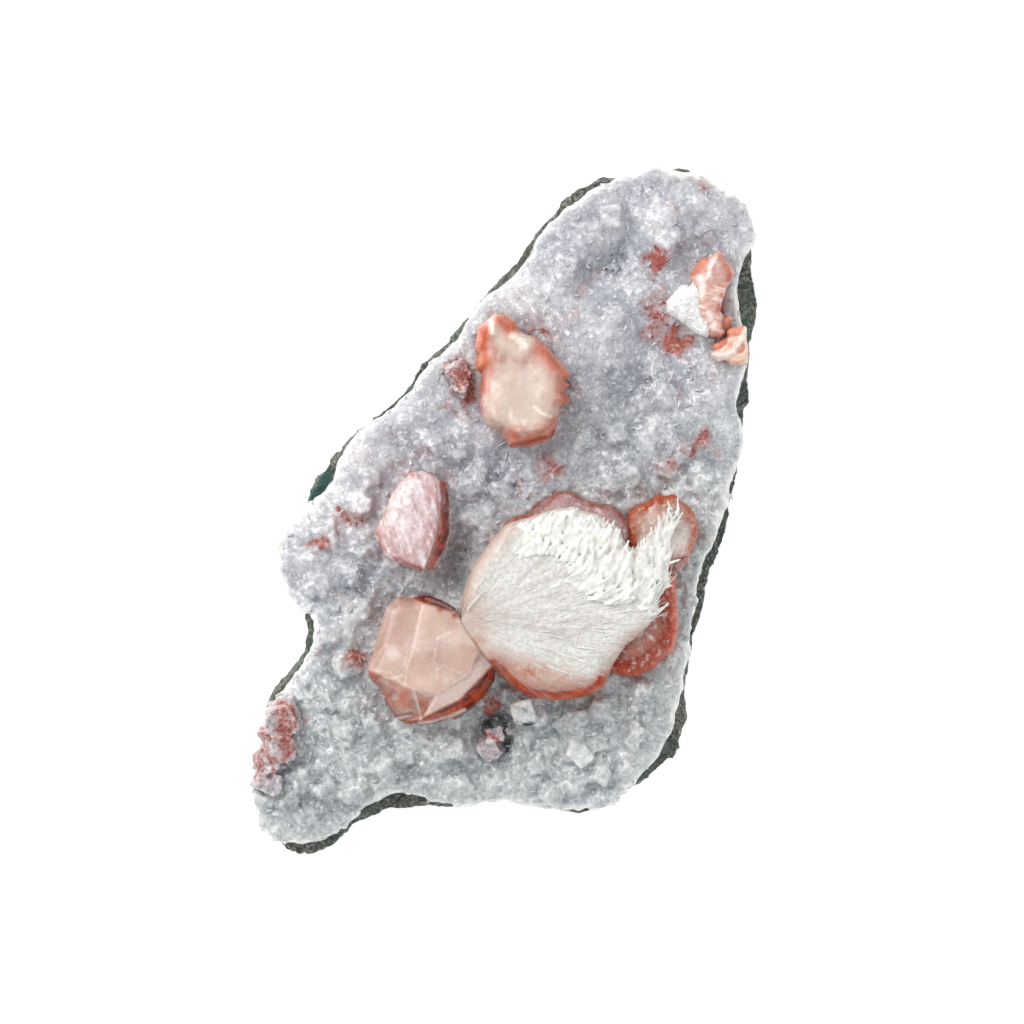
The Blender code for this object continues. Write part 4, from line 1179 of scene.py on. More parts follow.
def makeFan():
    look = fanLook
    piece, places, xy, depth, around = drawnUp("stilbiteFan", look)
    apex = np.array(look["apex"]) + measured
    radius = np.hypot(*(xy - apex).T)
    angle = np.arctan2(xy[:, 1] - apex[1], xy[:, 0] - apex[0])
    spokes = rolling(columns(angle * 26, radius * 0.12), 1.3, 51, 4)
    plates = rolling(columns(angle * 12, radius * 0.16), 1.6, 52, 2)
    grain = rolling(columns(*xy.T), 1.1, 58, 3)
    lower = smooth(-xy[:, 1], 24, 36) * (1 - smooth(xy[:, 0], 24, 30))
    left = 1 - smooth(xy[:, 0] * 0.7 + xy[:, 1], -8, 4)
    face = within(xy, fanFace, 2.8)
    seam = stroke(xy, blockSeam, 3.4)
    # the plateau has a crisp edge, and falls more gently at the lower and left edges
    curve = (0.42 + 0.3 * left + 0.9 * lower) * (1 - seam) + 0.34 * seam
    top = look["wall"] + look["rise"] * (1 - np.exp(-depth / curve))
    top = top - 1.8 * lower * (1 - seam) * (1 - smooth(depth, 0, 5))
    coarse = (spokes * 0.2 + grain * 0.1) * smooth(radius, 3, 14) * (1 - 0.85 * face)
    top = top - 2.2 * (1 - smooth(radius, 0, 12)) * (1 - 0.4 * seam) + coarse
    stepped = [(25.1, -20), (25.6, -26), (26.2, -32.6), (25.4, -38), (27.5, -41), (40, -26), (34, -22)]
    top = top + 0.45 * within(xy, stepped, 0.5)
    top = top + (plates > 0.3) * 0.22 * smooth(radius, 10, 20)
    top = np.minimum(top, 47.4)
    wall = rolling(columns(around, 0 * around, places[:, 2] * 0.15), 0.9, 53, 3) * 0.16
    lifted(piece, places, look, top, wall)
    low = 1 - smooth(places[:, 2], 31, 36.4)
    rough = rolling(places, 2.0, 54)
    peach = strongest(
        0.43 * (1 - smooth(radius, 3, 13)),
        face * (0.92 + 0.4 * rough - 0.25 * spokes),
        0.5 * left * (1 - smooth(depth + rough * 0.6, 0.6, 4)),
    )
    red = strongest(
        1.6 * stroke(xy, fanLine, 6.4) * (1 - smooth(depth + rough * 0.6, 1.3, 4.8)),
        0.72 * face * (1 - smooth(depth + rough * 1.2 + spokes, 1.0, 7.5)) * smooth(xy[:, 0], -6, 2),
        0.8 * stroke(xy, [(-1.6, -42), (1.4, -44.6), (4.4, -46.2)], 0.7),
        low * 0.55 * (0.3 + 0.7 * lower),
    )
    red = np.clip(red, 0, 1)
    # painted shade: a greyer band across the middle of the fan, broken up by its fibres; farther out, grey
    # streaks along the raised fibres; both go into the deep mask
    shaded = stroke(xy, [(-5, -28.4), (4, -29.4), (12, -30.2), (20, -30.4)], 4.4)
    grey = np.maximum(shaded * smooth(spokes + grain * 0.4, -0.3, 0.6),
                      0.6 * smooth(spokes, 0.35, 0.9) * smooth(radius, 8, 20))
    painted(piece, inward=depth / 10, red=red, deep=np.clip(grey, 0, 0.6), pale=peach * (1 - red))
    fibres(piece, radius, angle * 24)
    return piece


# Each lobe: its outline, how high its rim and its middle are, and its colours from the rim inwards
lobeLook = dict(
    skin=0.4, low=24.5, tuck=0.9, fibre=0.6, fibreLength=0.3, silk=0.42, depth=1.0, glow=0.5, coat=0.12,
    gloss=0.25, rough=0.14, silkLight=colour(214, 150, 124), silkDark=colour(118, 40, 22), mottle=2.8,
    waver=0.22, redLight=colour(202, 86, 38), redDark=colour(148, 44, 16), deepest=colour(96, 30, 16),
    palest=colour(240, 230, 226), bump=0.6, lean=0.24, grainy=0.2,
)
topLobe = dict(
    lobeLook, wall=38.4, middle=42.2, cloud=0.0, line=0.0,
    outline=[(-1, -6), (0, -3.2), (3, -1.5), (6.5, -0.9), (8.4, 1.2), (11, 3.2), (13.8, 5), (17, 4.7),
             (20, 3), (24, 1.5), (28, 1.3), (30, -1), (32.2, -3), (33.4, -9), (24, -14), (8, -14)],
    bands=[(0, colour(176, 116, 98)), (0.35, colour(146, 84, 70)), (1.2, colour(150, 106, 102)),
           (2.4, colour(176, 152, 156)), (10, colour(196, 182, 186))],
)
upperLobe = dict(
    lobeLook, wall=38.6, middle=42.4, cloud=0.75, line=0.0,
    outline=[(31.4, -9), (31.6, -3.4), (31.8, -0.8), (34.1, 1.0), (37.2, 2.3), (39.9, 3.9), (41.5, 3.5),
             (43.5, 3.9), (45.2, 2.5), (47.9, 0.5), (49.3, -2.2), (50.2, -5.3), (49.5, -7.6),
             (48.4, -10.2), (47.5, -12.9), (45.4, -14.8), (44.6, -15.6), (40, -15.8), (34, -13)],
    bands=[(0, colour(192, 110, 74)), (0.6, colour(186, 76, 32)), (2.0, colour(180, 82, 42)),
           (3.0, colour(188, 144, 126)), (4.6, colour(202, 178, 168)), (10, colour(218, 204, 196))],
)
lowerLobe = dict(
    lobeLook, wall=37.4, middle=41.6, cloud=0.0, line=1.0,
    outline=[(36, -14.5), (42.4, -15.8), (43.9, -17.2), (44.3, -21.4), (44.8, -28.1), (45, -31.3),
             (43.4, -36.2), (40.3, -38.9), (38.5, -41.1), (33.2, -43.1), (30, -42.8), (26.5, -41.8),
             (26, -32), (31, -24)],
    bands=[(0, colour(210, 134, 96)), (0.7, colour(204, 90, 36)), (1.7, colour(184, 54, 8)),
           (3.8, colour(150, 36, 6)), (5.0, colour(168, 88, 66)), (10, colour(194, 162, 158))],
)
# the pale cloudy patch of the upper lobe
cloudArea = [(41.7, -3), (45, -2.2), (47.2, -4.6), (46.8, -11.4), (44, -12.4), (42, -10)]


def makeLobe(name, look, seed):
    piece, places, xy, depth, around = drawnUp(name, look)
    ribs = rolling(columns(around, depth * 0.25), 1.7, seed, 3)
    steps = np.minimum(np.floor(depth / 1.6 + ribs * 0.6) * 0.26, 0.9)
    broad = rolling(places, 5.5, seed + 3, 2)
    rise = (look["middle"] - look["wall"]) * (1 - np.exp(-depth / 1.5))
    top = look["wall"] + rise + steps - 0.5 + ribs * 0.22 * np.exp(-depth / 4)
    top = top + broad * 0.4 * smooth(depth, 1, 4)
    ledges = rolling(columns(around * 0.5, places[:, 2] * 1.2), 1.7, seed + 1, 2)
    lifted(piece, places, look, top, ribs * 0.14 + ledges * 0.26)
    low = 1 - smooth(places[:, 2], 31, 37)
    rings = rolling(columns(around, depth * 0.4), 1.2, seed + 2)
    specks = strongest(
        0.7 * smooth(rings, 0.3, 0.8) * smooth(depth, 3.4, 6),
        look["cloud"] * within(xy, cloudArea, 1.4) * (0.8 + 0.5 * broad),
        0.55 * smooth(rolling(places, 1.1, seed + 5, 2), 0.45, 0.75) * smooth(depth, 0.4, 1.4),
        0.5 * low * smooth(ledges, -0.2, 0.7),
    )
    cracks = (1 - smooth(np.abs(ribs), 0.0, 0.10)) * np.exp(-depth / 3)
    line = look["line"] * (1 - smooth(np.abs(depth - 4.2), 0, 0.5))
    painted(piece, inward=depth / 10 + broad * 0.05, red=np.maximum(0.4 * low, 0.2 * np.exp(-depth / 3)),
            deep=0.5 * np.maximum(cracks, line), pale=specks)
    fibres(piece, depth, around)
    return piece


# Flakes: loose ends of the white fibres, most of them at the fan's outer shoulder

flakeLook = dict(
    tried=11000, spacing=0.8, most=980, length=(1.2, 3.4), width=(0.8, 2.1), thick=(0.55, 1.1),
    lift=0.5,
)
strayLook = dict(
    tried=2500, spacing=1.5, most=210, length=(1.2, 3.8), width=(0.2, 0.5), thick=(0.16, 0.28),
    lift=0.12,
)
veinLook = dict(
    tried=900, spacing=1.0, most=34, length=(2, 6), width=(0.1, 0.26), thick=(0.12, 0.2), lift=0.02,
)
frayLook = dict(
    tried=2500, spacing=0.7, most=210, length=(1.4, 3.8), width=(0.25, 0.7), thick=(0.2, 0.4),
    lift=0.22,
)


def flakeFinish(name, low, high):
    material, tree, shader = newMaterial(name, **{
        "Subsurface Weight": 0.25, "Subsurface Scale": 0.0008, "Subsurface Radius": (1.0, 0.95, 0.9),
        "Roughness": 0.6, "IOR": 1.45,
    })
    mottle = use(tree, clouds, {"Size mm": 1.8, "Detail": 4.0})["Value"]
    grain = noise(tree, here(tree), 2600.0, Detail=3.0, Roughness=0.7)
    feed(tree, shader.inputs, {
        "Base Color": ramp(tree, mottle, [(0.0, low), (1.0, high)]),
        "Normal": bumped(tree, Height=grain, Strength=0.4, Distance=0.0002),
    })
    return material


def makeFlakes(name, look, fan, weight, seed):
    at, normals, chance = sown(fan, look, weight + 1e-9, seed)
    at, normals = someOf(at, normals, chance, look["most"])
    apex = np.array(fanLook["apex"]) + measured
    spread = np.arctan2(at[:, 1] - apex[1], at[:, 0] - apex[0])
    drift = np.radians(np.clip(62 + (at[:, 0] - 10), 55, 96))
    shoulder = smooth(at[:, 1] + 0.45 * at[:, 0], -14, 0)
    course = spread + (drift - spread) * shoulder + chance.normal(0, 0.14, len(at))
    flow = columns(np.cos(course), np.sin(course))
    turns = leaning(normals, look["lift"], chance, flow)
    sizes = np.column_stack([chance.uniform(*look[k], len(at)) for k in ("length", "width", "thick")])
    sizes *= chance.uniform(0.7, 1.35, (len(at), 1))
    sizes[:, 0] *= 1 + 0.9 * smooth(at[:, 0] - 0.5 * at[:, 1], 22, 34)
    at = at - flow * (sizes[:, 0] * 0.45)[:, None] - normals * 0.10
    kinds = [leafKind("leafRound", 0.10, 0.6), leafKind("leafPointed", 0.14, 0.16),
             leafKind("leafSplit", 0.05, 0.4)]
    return planted(name, at, turns, sizes, kinds, whiteFlakes, seed + 1)


def makeLobeBlocks():
    # three small pink crystals between the two right lobes
    places = np.array([(42.3, -13.3, 40.6), (44.7, -14.2, 40.4), (46.5, -13.2, 39.8)]) + (*measured, 0)
    turns = np.array([(0.2, 0.1, 0.4), (-0.2, 0.15, 0.9), (0.1, -0.3, 0.2)])
    sizes = np.array([(2.6, 2.4, 2.6), (2.5, 2.2, 2.4), (1.9, 1.8, 2.0)])
    return planted("lobeBlocks", places, turns, sizes, [blockKind("pinkBlock", 0.08)], pinkBlocks, 75)


fan = makeFan()
finished(fan, stilbiteFinish("fanFibres", fanLook), "fan", "stilbite_fan")
for name, look, seed in (
    ("topLobe", topLobe, 61), ("upperLobe", upperLobe, 64), ("lowerLobe", lowerLobe, 67),
):
    finished(makeLobe(name, look, seed), stilbiteFinish(name + "Stilbite", look), "fan")
whiteFlakes = flakeFinish("whiteFlakes", colour(226, 223, 216), colour(248, 248, 245))
fanPlaces = pointsOf(fan)
fanXy = fanPlaces[:, :2]
fanRadius = np.hypot(*(fanXy - np.array(fanLook["apex"]) - measured).T)
offFace = 1 - within(fanXy, fanFace, 1)
onTop = smooth(normalsOf(fan)[:, 2], 0.2, 0.6) * smooth(fanPlaces[:, 2], 37.5, 40)
inZone = smooth(fromOutline(fanXy, flakeZone)[0] + rolling(fanPlaces, 4, 55) * 2.4, -0.8, 2.6)
flakes = refined(makeFlakes("fanFlakes", flakeLook, fan, onTop * inZone, 71), 0.26)
places, normals = pointsOf(flakes), normalsOf(flakes)
movePoints(flakes, places + normals * (rolling(places, 0.9, 57, 2) * 0.1)[:, None])
finished(flakes, whiteFlakes, "fan")
onRest = onTop * (1 - inZone) * smooth(fanXy[:, 0] - 0.2 * fanXy[:, 1], 12, 34) * offFace
onVeins = onTop * smooth(fanRadius, 3, 5) * (1 - smooth(fanRadius, 10, 17)) * offFace
onFray = onTop * stroke(fanXy, fanFray, 2.2)
for name, look, weight, seed in (("fanStrays", strayLook, onRest, 73), ("fanVeins", veinLook, onVeins, 79),
                                 ("fanFray", frayLook, onFray, 77)):
    finished(makeFlakes(name, look, fan, weight, seed), whiteFlakes, "fan")
pinkBlocks = stilbiteFinish("pinkBlocks", dict(upperLobe, clear=0.3, bands=[
    (0, colour(220, 178, 170)), (10, colour(236, 208, 202))]))
finished(makeLobeBlocks(), pinkBlocks, "fan")


# The block: one thick peach crystal with a red layered side

blockCrystalLook = dict(
    skin=0.32, low=25.2, wall=34.0, tuck=1.0, crown=45.4, fibre=0.5, fibreLength=0.12, silk=0.14,
    depth=2.6, glow=0.9, coat=0.1, gloss=0.25, rough=0.1, clear=0.1, mottle=4.0, waver=0.14, grainy=0.0,
    grainBump=0.06, bump=0.12, silkLight=colour(238, 216, 206), silkDark=colour(194, 152, 138),
    bands=[(0, colour(176, 140, 128)), (3, colour(198, 166, 154)), (5, colour(210, 180, 168)),
           (7, colour(216, 190, 176)), (10, colour(234, 212, 200))],
    redLight=colour(204, 86, 38), redDark=colour(156, 44, 12), deepest=colour(104, 24, 8),
    palest=colour(244, 232, 226), lean=0.04, facet=3.0,
    outline=[(-27.7, -22.7), (-23.8, -23), (-21.9, -22.4), (-19.1, -22.6), (-15.9, -23.8),
             (-12.2, -26.2), (-11.2, -29), (-8, -32.3), (-5.2, -36.4), (-3.1, -40.6), (-2.9, -43.9),
             (-5.2, -48), (-7.5, -50.8), (-10.3, -52.7), (-12.6, -54.5), (-14.9, -54.1), (-20, -55.6),
             (-24.7, -55.2), (-27.5, -54.6), (-29.3, -52.2), (-32.1, -46.2), (-34.9, -43.6),
             (-35.4, -41.1), (-34.4, -37.4), (-32.1, -29.9), (-30.7, -25.3)],
)
blockTop = [
    (-35.6, -41.0), (-31, -25), (-27, -22), (-11.2, -26.9), (-6.2, -36.2), (-9.1, -42.2),
    (-17.7, -47.5), (-24.2, -46.3), (-28.8, -43.9),
]
blockBand = [
    (-6.2, -36.2), (-4.5, -37.6), (-3.2, -40.1), (-12, -49), (-20.9, -53.3), (-17.7, -47.5),
    (-9.1, -42.2),
]
blockSkirt = [
    (-36.4, -42.4), (-33.4, -46.6), (-28.6, -55.6), (-20.9, -53.3), (-17.7, -47.5), (-24.2, -46.3),
    (-28.8, -43.9), (-35.4, -41.0),
]
blockLight = [
    (-36.4, -42.4), (-33.4, -46.6), (-28.6, -55.6), (-20.9, -53.3), (-12, -49), (-3.2, -40.1),
    (-4.5, -37.6), (-6.2, -36.2), (-11.2, -26.9), (-18, -24.8), (-22.4, -23.6), (-27, -21), (-32, -25),
]
blockSteps = [
    ([(-21.4, -22), (-21.4, -24.8), (-23.3, -33.2), (-23.8, -36), (-25.6, -41.5), (-26, -45.4),
      (-17.7, -47.5), (-9.1, -42.2), (-6.2, -36.2), (-11.2, -26.9), (-17, -24)], 0.5),
    ([(-17.5, -33), (-11.7, -30), (-6.9, -35.6), (-8.2, -40.4), (-10, -43.2), (-14, -41.5),
      (-18.5, -39.5)], 0.3),
    ([(-33.4, -41), (-31, -35.6), (-28, -35.2), (-25.4, -37), (-26.4, -42.6), (-29.4, -43.4)], -0.25),
]
# faces that meet inside it, and how much lighter or darker each is painted, as lit and shaded faces
blockFacetShades = [
    ([(-28.4, -22.9), (-25.2, -22.5), (-21.4, -24.4), (-22.4, -29), (-23.8, -35), (-27.5, -35),
      (-30.7, -34.6), (-33.5, -37.4), (-31.2, -27.6)], -0.14),
    ([(-21.4, -24.4), (-12.6, -26.7), (-10.3, -30.4), (-7, -35), (-11.7, -35), (-17.7, -33.6),
      (-22.4, -36.9), (-23.8, -35), (-22.4, -29)], 0.10),
    ([(-17.7, -33.6), (-11.7, -34.6), (-7, -35), (-5.2, -37.4), (-9.4, -42), (-12.6, -41),
      (-18.2, -39.2), (-19.1, -36.9)], -0.07),
    ([(-24.7, -41), (-18.2, -39.2), (-12.6, -41), (-9.8, -42.4), (-14.5, -46.2), (-18.2, -47.6),
      (-22.4, -47.1), (-26.6, -44.8)], 0.08),
    ([(-7.6, -38.4), (-5.2, -36.9), (-8, -40.6)], -0.4),
    ([(-31.2, -34.8), (-27.8, -35), (-26.4, -38), (-30, -39.4)], 0.12),
]
# painted highlights: pale lines along the facet edges and the lower rim: route, width, strength
blockEdgeHighlights = [
    ([(-34, -41.3), (-29.4, -41.8), (-26.2, -44.8), (-20, -47.6), (-17.7, -47.5), (-9.6, -42.4),
      (-8.6, -40.6)], 0.35, 0.6),
    ([(-21.4, -24.8), (-23.3, -33.2), (-23.8, -36), (-25.6, -41.5)], 0.3, 0.3),
    ([(-8.2, -33), (-6.4, -36.2), (-8, -40.6), (-9.8, -43.4)], 0.3, 0.6),
    ([(-9.8, -43.4), (-4.6, -38.2)], 0.3, 0.5), ([(-23.6, -46), (-22, -51.8), (-21.6, -54)], 0.5, 0.7),
    ([(-22.3, -55.2), (-19, -54.8), (-15.3, -53.6)], 0.7, 0.8),
    ([(-14.4, -53.5), (-10.5, -51.8)], 0.9, 0.9), ([(-28.2, -54), (-24.4, -53.2)], 0.7, 0.7),
    ([(-20.4, -22.9), (-16, -24.4), (-12.6, -26.4)], 0.35, 0.5),
]


def makeBlock():
    look = blockCrystalLook
    piece, places, xy, depth, around = drawnUp("stilbiteBlock", look)
    rough = rolling(places, 2.4, 83, 4)
    outside, skirt = beyond(xy, blockTop), within(xy, blockSkirt)
    fall = outside * (0.34 + 0.36 * skirt) + beyond(xy, blockLight) * 1.5
    top = look["crown"] - 0.07 * (xy[:, 1] + 46) - 0.05 * np.abs(xy[:, 0] + 17) - fall
    seam = stroke(xy, blockSeam, 2.6)
    top = top - 3.2 * np.exp(-depth / 1.1) * (1 - 0.85 * seam)
    for outline, rise in blockSteps:
        top = top + rise * within(xy, outline, 0.25)
    under = 1 - within(xy, blockLight, 0.5)
    chips = cobbled(places * (1, 1, 0), 2.2, 82)[1] - 0.5
    ledges = rolling(columns(outside, around * 0.12), 0.9, 85, 2)
    top = top + under * (chips * 0.9 + ledges * 0.5) + skirt * (chips * 0.25 + rough * 0.2) + rough * 0.04
    layers = rolling(columns(*xy.T * 0.1, places[:, 2]), 1.1, 81, 3)
    wall = lifted(piece, places, look, top, layers * 0.34 + chips * 0.4)
    arc = stroke(xy, [(-22.2, -22.8), (-18.6, -23.4), (-15, -25), (-12.4, -26.8)], 1.5)
    red = strongest(
        under,
        0.62 * skirt * smooth(rough, -0.9, 0.6),
        0.8 * wall * (0.3 + 0.7 * smooth(-xy[:, 1], 38, 44)),
        arc * smooth(rough, -0.5, 0.1),
        drawn(xy, [([(-16.6, -25.6)], 1.5, 0.85), ([(-12.9, -27.2)], 1.2, 0.85),
                   ([(-34.4, -42.8)], 2.2, 0.85), ([(-35, -43), (-31.6, -47.6), (-29, -53)], 1.2, 0.85)]),
    )
    deep = strongest(
        0.95 * under * smooth(ledges + chips * 0.6, -0.25, 0.3),
        drawn(xy, [([(-28, -53.4), (-24, -52.4)], 0.8, 0.7),
                   ([(-20.6, -53.6), (-15.4, -51.2), (-12.6, -50)], 0.8, 0.6)]),
        0.35 * skirt * smooth(rolling(places, 3.0, 86), 0.2, 0.6),
    )
    # painted highlight: white glitter specks on the top
    paintedGlitter = stroke(xy, [(-17.6, -41), (-14.8, -43), (-12.4, -43.4)], 3.0)
    paintedGlitter = paintedGlitter * smooth(rolling(places, 0.8, 84), 0.0, 0.4)
    veil = smooth(rolling(places, 6, 87), 0.1, 0.8) * within(xy, blockTop, 1.0)
    # pale marks: painted glitter and edge highlights, with a pale veil, band and spot
    pale = strongest(
        0.85 * paintedGlitter,
        0.3 * veil,
        0.35 * within(xy, blockBand, 0.6),
        0.55 * stroke(xy, [(-28.8, -36.5)], 3.4),
        drawn(xy, blockEdgeHighlights),
    )
    # painted light and shade: each facet lighter or darker as lit or shaded; the whole is also darker on
    # the skirt and towards the rim
    tone = 0.62 + sum(1.6 * change * within(xy, outline, 0.16) for outline, change in blockFacetShades)
    tone = tone + 0.2 * rolling(places, 5, 88, 3) - 0.22 * skirt - 0.4 * np.exp(-depth / 1.6) * (1 - seam)
    painted(piece, inward=tone, red=red, deep=deep, pale=pale)
    across = xy[:, 0] * 0.7 - xy[:, 1] * 0.7 + places[:, 2] * under
    fibres(piece, np.hypot(xy[:, 0] + 11, xy[:, 1] + 28), across)
    return piece


# The tablet: a pink pearly plate, dark red down its layered right side

tabletLook = dict(
    skin=0.32, low=24.8, wall=34.0, tuck=1.2, crown=41.2, fibre=0.9, fibreLength=0.16, silk=0.5,
    depth=1.6, glow=0.7, coat=0.35, rough=0.12, silkLight=colour(248, 238, 238),
    silkDark=colour(184, 140, 140), mottle=3.0, waver=0.4, grainy=0.3, grainSize=1.3, grainBump=0.5,
    bump=0.6, lean=0.3, facet=1.3,
    bands=[(0, colour(184, 122, 108)), (0.6, colour(202, 162, 156)), (2.0, colour(218, 196, 197)),
           (10, colour(223, 207, 209))],
    redLight=colour(192, 82, 56), redDark=colour(130, 36, 22), deepest=colour(78, 20, 12),
    palest=colour(252, 248, 248),
    outline=[(-24.2, 9.8), (-21.4, 10.2), (-19.1, 9.8), (-17.3, 8.1), (-14.7, 7), (-14, 3.3),
             (-14.4, 1), (-13.9, -1.2), (-14.2, -3.4), (-13.9, -5.3), (-14.9, -9), (-16.8, -13.2),
             (-18.4, -15.5), (-21.9, -16), (-25.2, -14.6), (-28.9, -13.2), (-31.2, -11.8), (-31.7, -10),
             (-33.1, -8.6), (-33.4, -6.3), (-33.1, -4.4), (-31.2, -1.2), (-29.3, 4), (-27, 7.2)],
)
tabletTop = [
    (-24.4, 11), (-17.6, 8.2), (-16.8, 2.6), (-17.2, -1.2), (-17.8, -5.8), (-19.8, -11.8),
    (-21.4, -16.4), (-34, -13), (-34.4, -6), (-30, 6),
]


def makeTablet():
    look = tabletLook
    piece, places, xy, depth, _ = drawnUp("stilbiteTablet", look)
    grain, rough = rolling(places, 0.9, 91, 3), rolling(places, 2.2, 93)
    along, across = xy[:, 1] * 0.94 - xy[:, 0] * 0.34, xy[:, 0] * 0.94 + xy[:, 1] * 0.34
    streaks = rolling(columns(across, along * 0.22), 0.8, 94, 3)
    right = beyond(xy, tabletTop)
    ledges = rolling(columns(right, xy[:, 1] * 0.5), 1.0, 92, 3)
    onRight = smooth(right, 0, 0.5)
    top = look["crown"] - 0.12 * np.maximum(xy[:, 1] + 8, 0) - 0.012 * (xy[:, 0] + 24) ** 2
    top = top - right - 1.9 * np.exp(-depth) + grain * 0.05 + streaks * 0.08 + rough * 0.08
    wall = lifted(piece, places, look, top + ledges * 0.5 * onRight, rough * 0.3)
    pink = smooth(xy[:, 0] * 0.8 - xy[:, 1] * 0.5, -18, -7) * smooth(rough, -0.9, 0.6)
    rightEdge = stroke(xy, [(-18.6, 7), (-18.4, 0), (-19.6, -8), (-22, -13)], 3.2)
    red = strongest(
        onRight * (0.7 + 0.3 * smooth(right + ledges * 0.6, 0.4, 1.4)),
        0.8 * stroke(xy, [(-33, -6), (-32.4, -9.4), (-31, -10.6)], 1.8) * smooth(rough, -0.7, 0.2),
        0.75 * stroke(xy, [(-29, -12.4), (-25, -14), (-21.4, -15.4), (-18.6, -14.8)], 1.5),
        0.6 * stroke(xy, [(-24.6, 9.6), (-22.6, 8.8), (-19.4, 9.4)], 1.6) * smooth(rough, -0.4, 0.2),
        0.75 * wall,
        0.46 * pink,
        0.5 * rightEdge * smooth(rough, -0.8, 0.5),
        0.4 * stroke(xy, [(-30, -6), (-27, -11), (-23, -13)], 3.6) * smooth(-streaks, -0.6, 0.5),
        0.3 * smooth(-streaks, 0.2, 0.8) * (1 - onRight),
    )
    layered = stroke(xy, [(-15.2, 4.4), (-15, 0), (-15, -6), (-16.8, -11.6)], 1.6)
    deep = np.maximum(0.95 * layered * smooth(ledges, -0.5, 0.1),
                      0.45 * stroke(xy, [(-17.8, 6.5), (-17.2, 0), (-18.2, -6.4), (-20.4, -12)], 0.5))
    # painted sheen: a pearly pale patch on the left half
    pearl = stroke(xy, [(-24.4, 5), (-26.6, 1), (-27, -3)], 4.6) * smooth(rough + grain, -0.6, 0.6)
    # pale marks, mostly painted sheen and highlight: a thin highlight down the right edge, the pearly
    # patch, sheen along the fibres and a small pale stroke low on the left
    pale = strongest(
        0.75 * stroke(xy, [(-14.2, 5), (-14.1, 0), (-14.1, -6), (-15.4, -10.4), (-18.2, -15)], 0.4),
        0.75 * pearl,
        0.75 * smooth(streaks + 0.3 * grain, 0.2, 0.9) * (1 - onRight),
        0.6 * stroke(xy, [(-30, -12), (-27.2, -12.6)], 1.6) * smooth(grain, -0.2, 0.2),
    )
    painted(piece, inward=depth / 10, red=red, deep=deep, pale=pale)
    fibres(piece, along, across)
    return piece


# The sheaf: a waxy plate with soft folds, orange at its left and top and cream in the middle

sheafLook = dict(
    skin=0.4, low=24.8, wall=37.4, tuck=1.4, crown=42.6, fibre=1.1, fibreLength=0.5, silk=0.06,
    depth=2.4, glow=0.9, coat=0.3, gloss=0.35, rough=0.12, silkLight=colour(240, 224, 214),
    silkDark=colour(204, 168, 152), mottle=4.5, waver=0.5,
    bands=[(0, colour(192, 118, 100)), (1.0, colour(196, 134, 120)), (2.4, colour(198, 156, 144)),
           (4.5, colour(212, 186, 174)), (10, colour(222, 205, 194))],
    redLight=colour(206, 118, 84), redDark=colour(184, 76, 38), deepest=colour(158, 48, 14),
    palest=colour(250, 240, 230), bump=0.2, lean=0.04, facet=2.6, grainy=0.12, grainBump=0.3,
    outline=[(-2.5, 51), (-4.4, 49.2), (-7.2, 46.8), (-7.4, 43.6), (-7.9, 42), (-7.3, 39.6),
             (-7.8, 36.1), (-6, 35.6), (-6.2, 31.4), (-6.4, 26.9), (-5.8, 23.5), (-4.9, 21.6),
             (-1.1, 20.1), (0.7, 17.5), (1.6, 16.1), (5.6, 16.1), (11.7, 17.9), (13.3, 21.3),
             (14.1, 24.6), (14.5, 26.4), (16.6, 27.5), (16.8, 28.4), (15.3, 30.7), (16.8, 32.2),
             (15.3, 33.4), (16.6, 34), (16.8, 35.4), (13.4, 39.2), (11.2, 42), (8, 44.7), (5.6, 45.4),
             (3.9, 46.4), (2.6, 49), (0, 50.4)],
)
sheafReds = [
    ([(-6.6, 46.2), (-6.8, 41), (-6, 37.4)], 5.4, 1.2), ([(-5.6, 35), (-5.4, 31)], 3.0, 0.6),
    ([(-0.6, 49.6), (1.2, 47.6), (2.6, 46.2)], 4.6, 1.1),
    ([(10, 41.6), (13.4, 37.4), (15.6, 34.6), (15.8, 31), (15.8, 28)], 5.0, 0.9),
    ([(1.6, 16.6), (5.6, 16.8), (9, 18.2), (11.4, 18.6), (12.6, 20.4)], 1.2, 1.0),
]
sheafDeeps = [
    ([(2, 16.6), (6, 17.2), (9, 18.2), (11.6, 18.8), (13, 20.6)], 1.1, 0.85), ([(16, 34.4)], 1.0, 0.5),
    ([(16, 28.4)], 1.0, 0.5), ([(-7.4, 42.6)], 1.0, 0.5), ([(-7, 37.4)], 1.0, 0.5),
]
# pale marks: a painted highlight at the upper left, the cream nodule and a white thread: route, width,
# strength
sheafPalesAndHighlight = [
    ([(-3.6, 48.6), (-3.2, 45.6)], 1.1, 0.95), ([(2.6, 44.2), (4.6, 43.2), (5.4, 42.2)], 2.6, 1.0),
    ([(7.6, 26.4), (9.4, 24.8), (11.6, 23.9)], 0.8, 0.85),
]


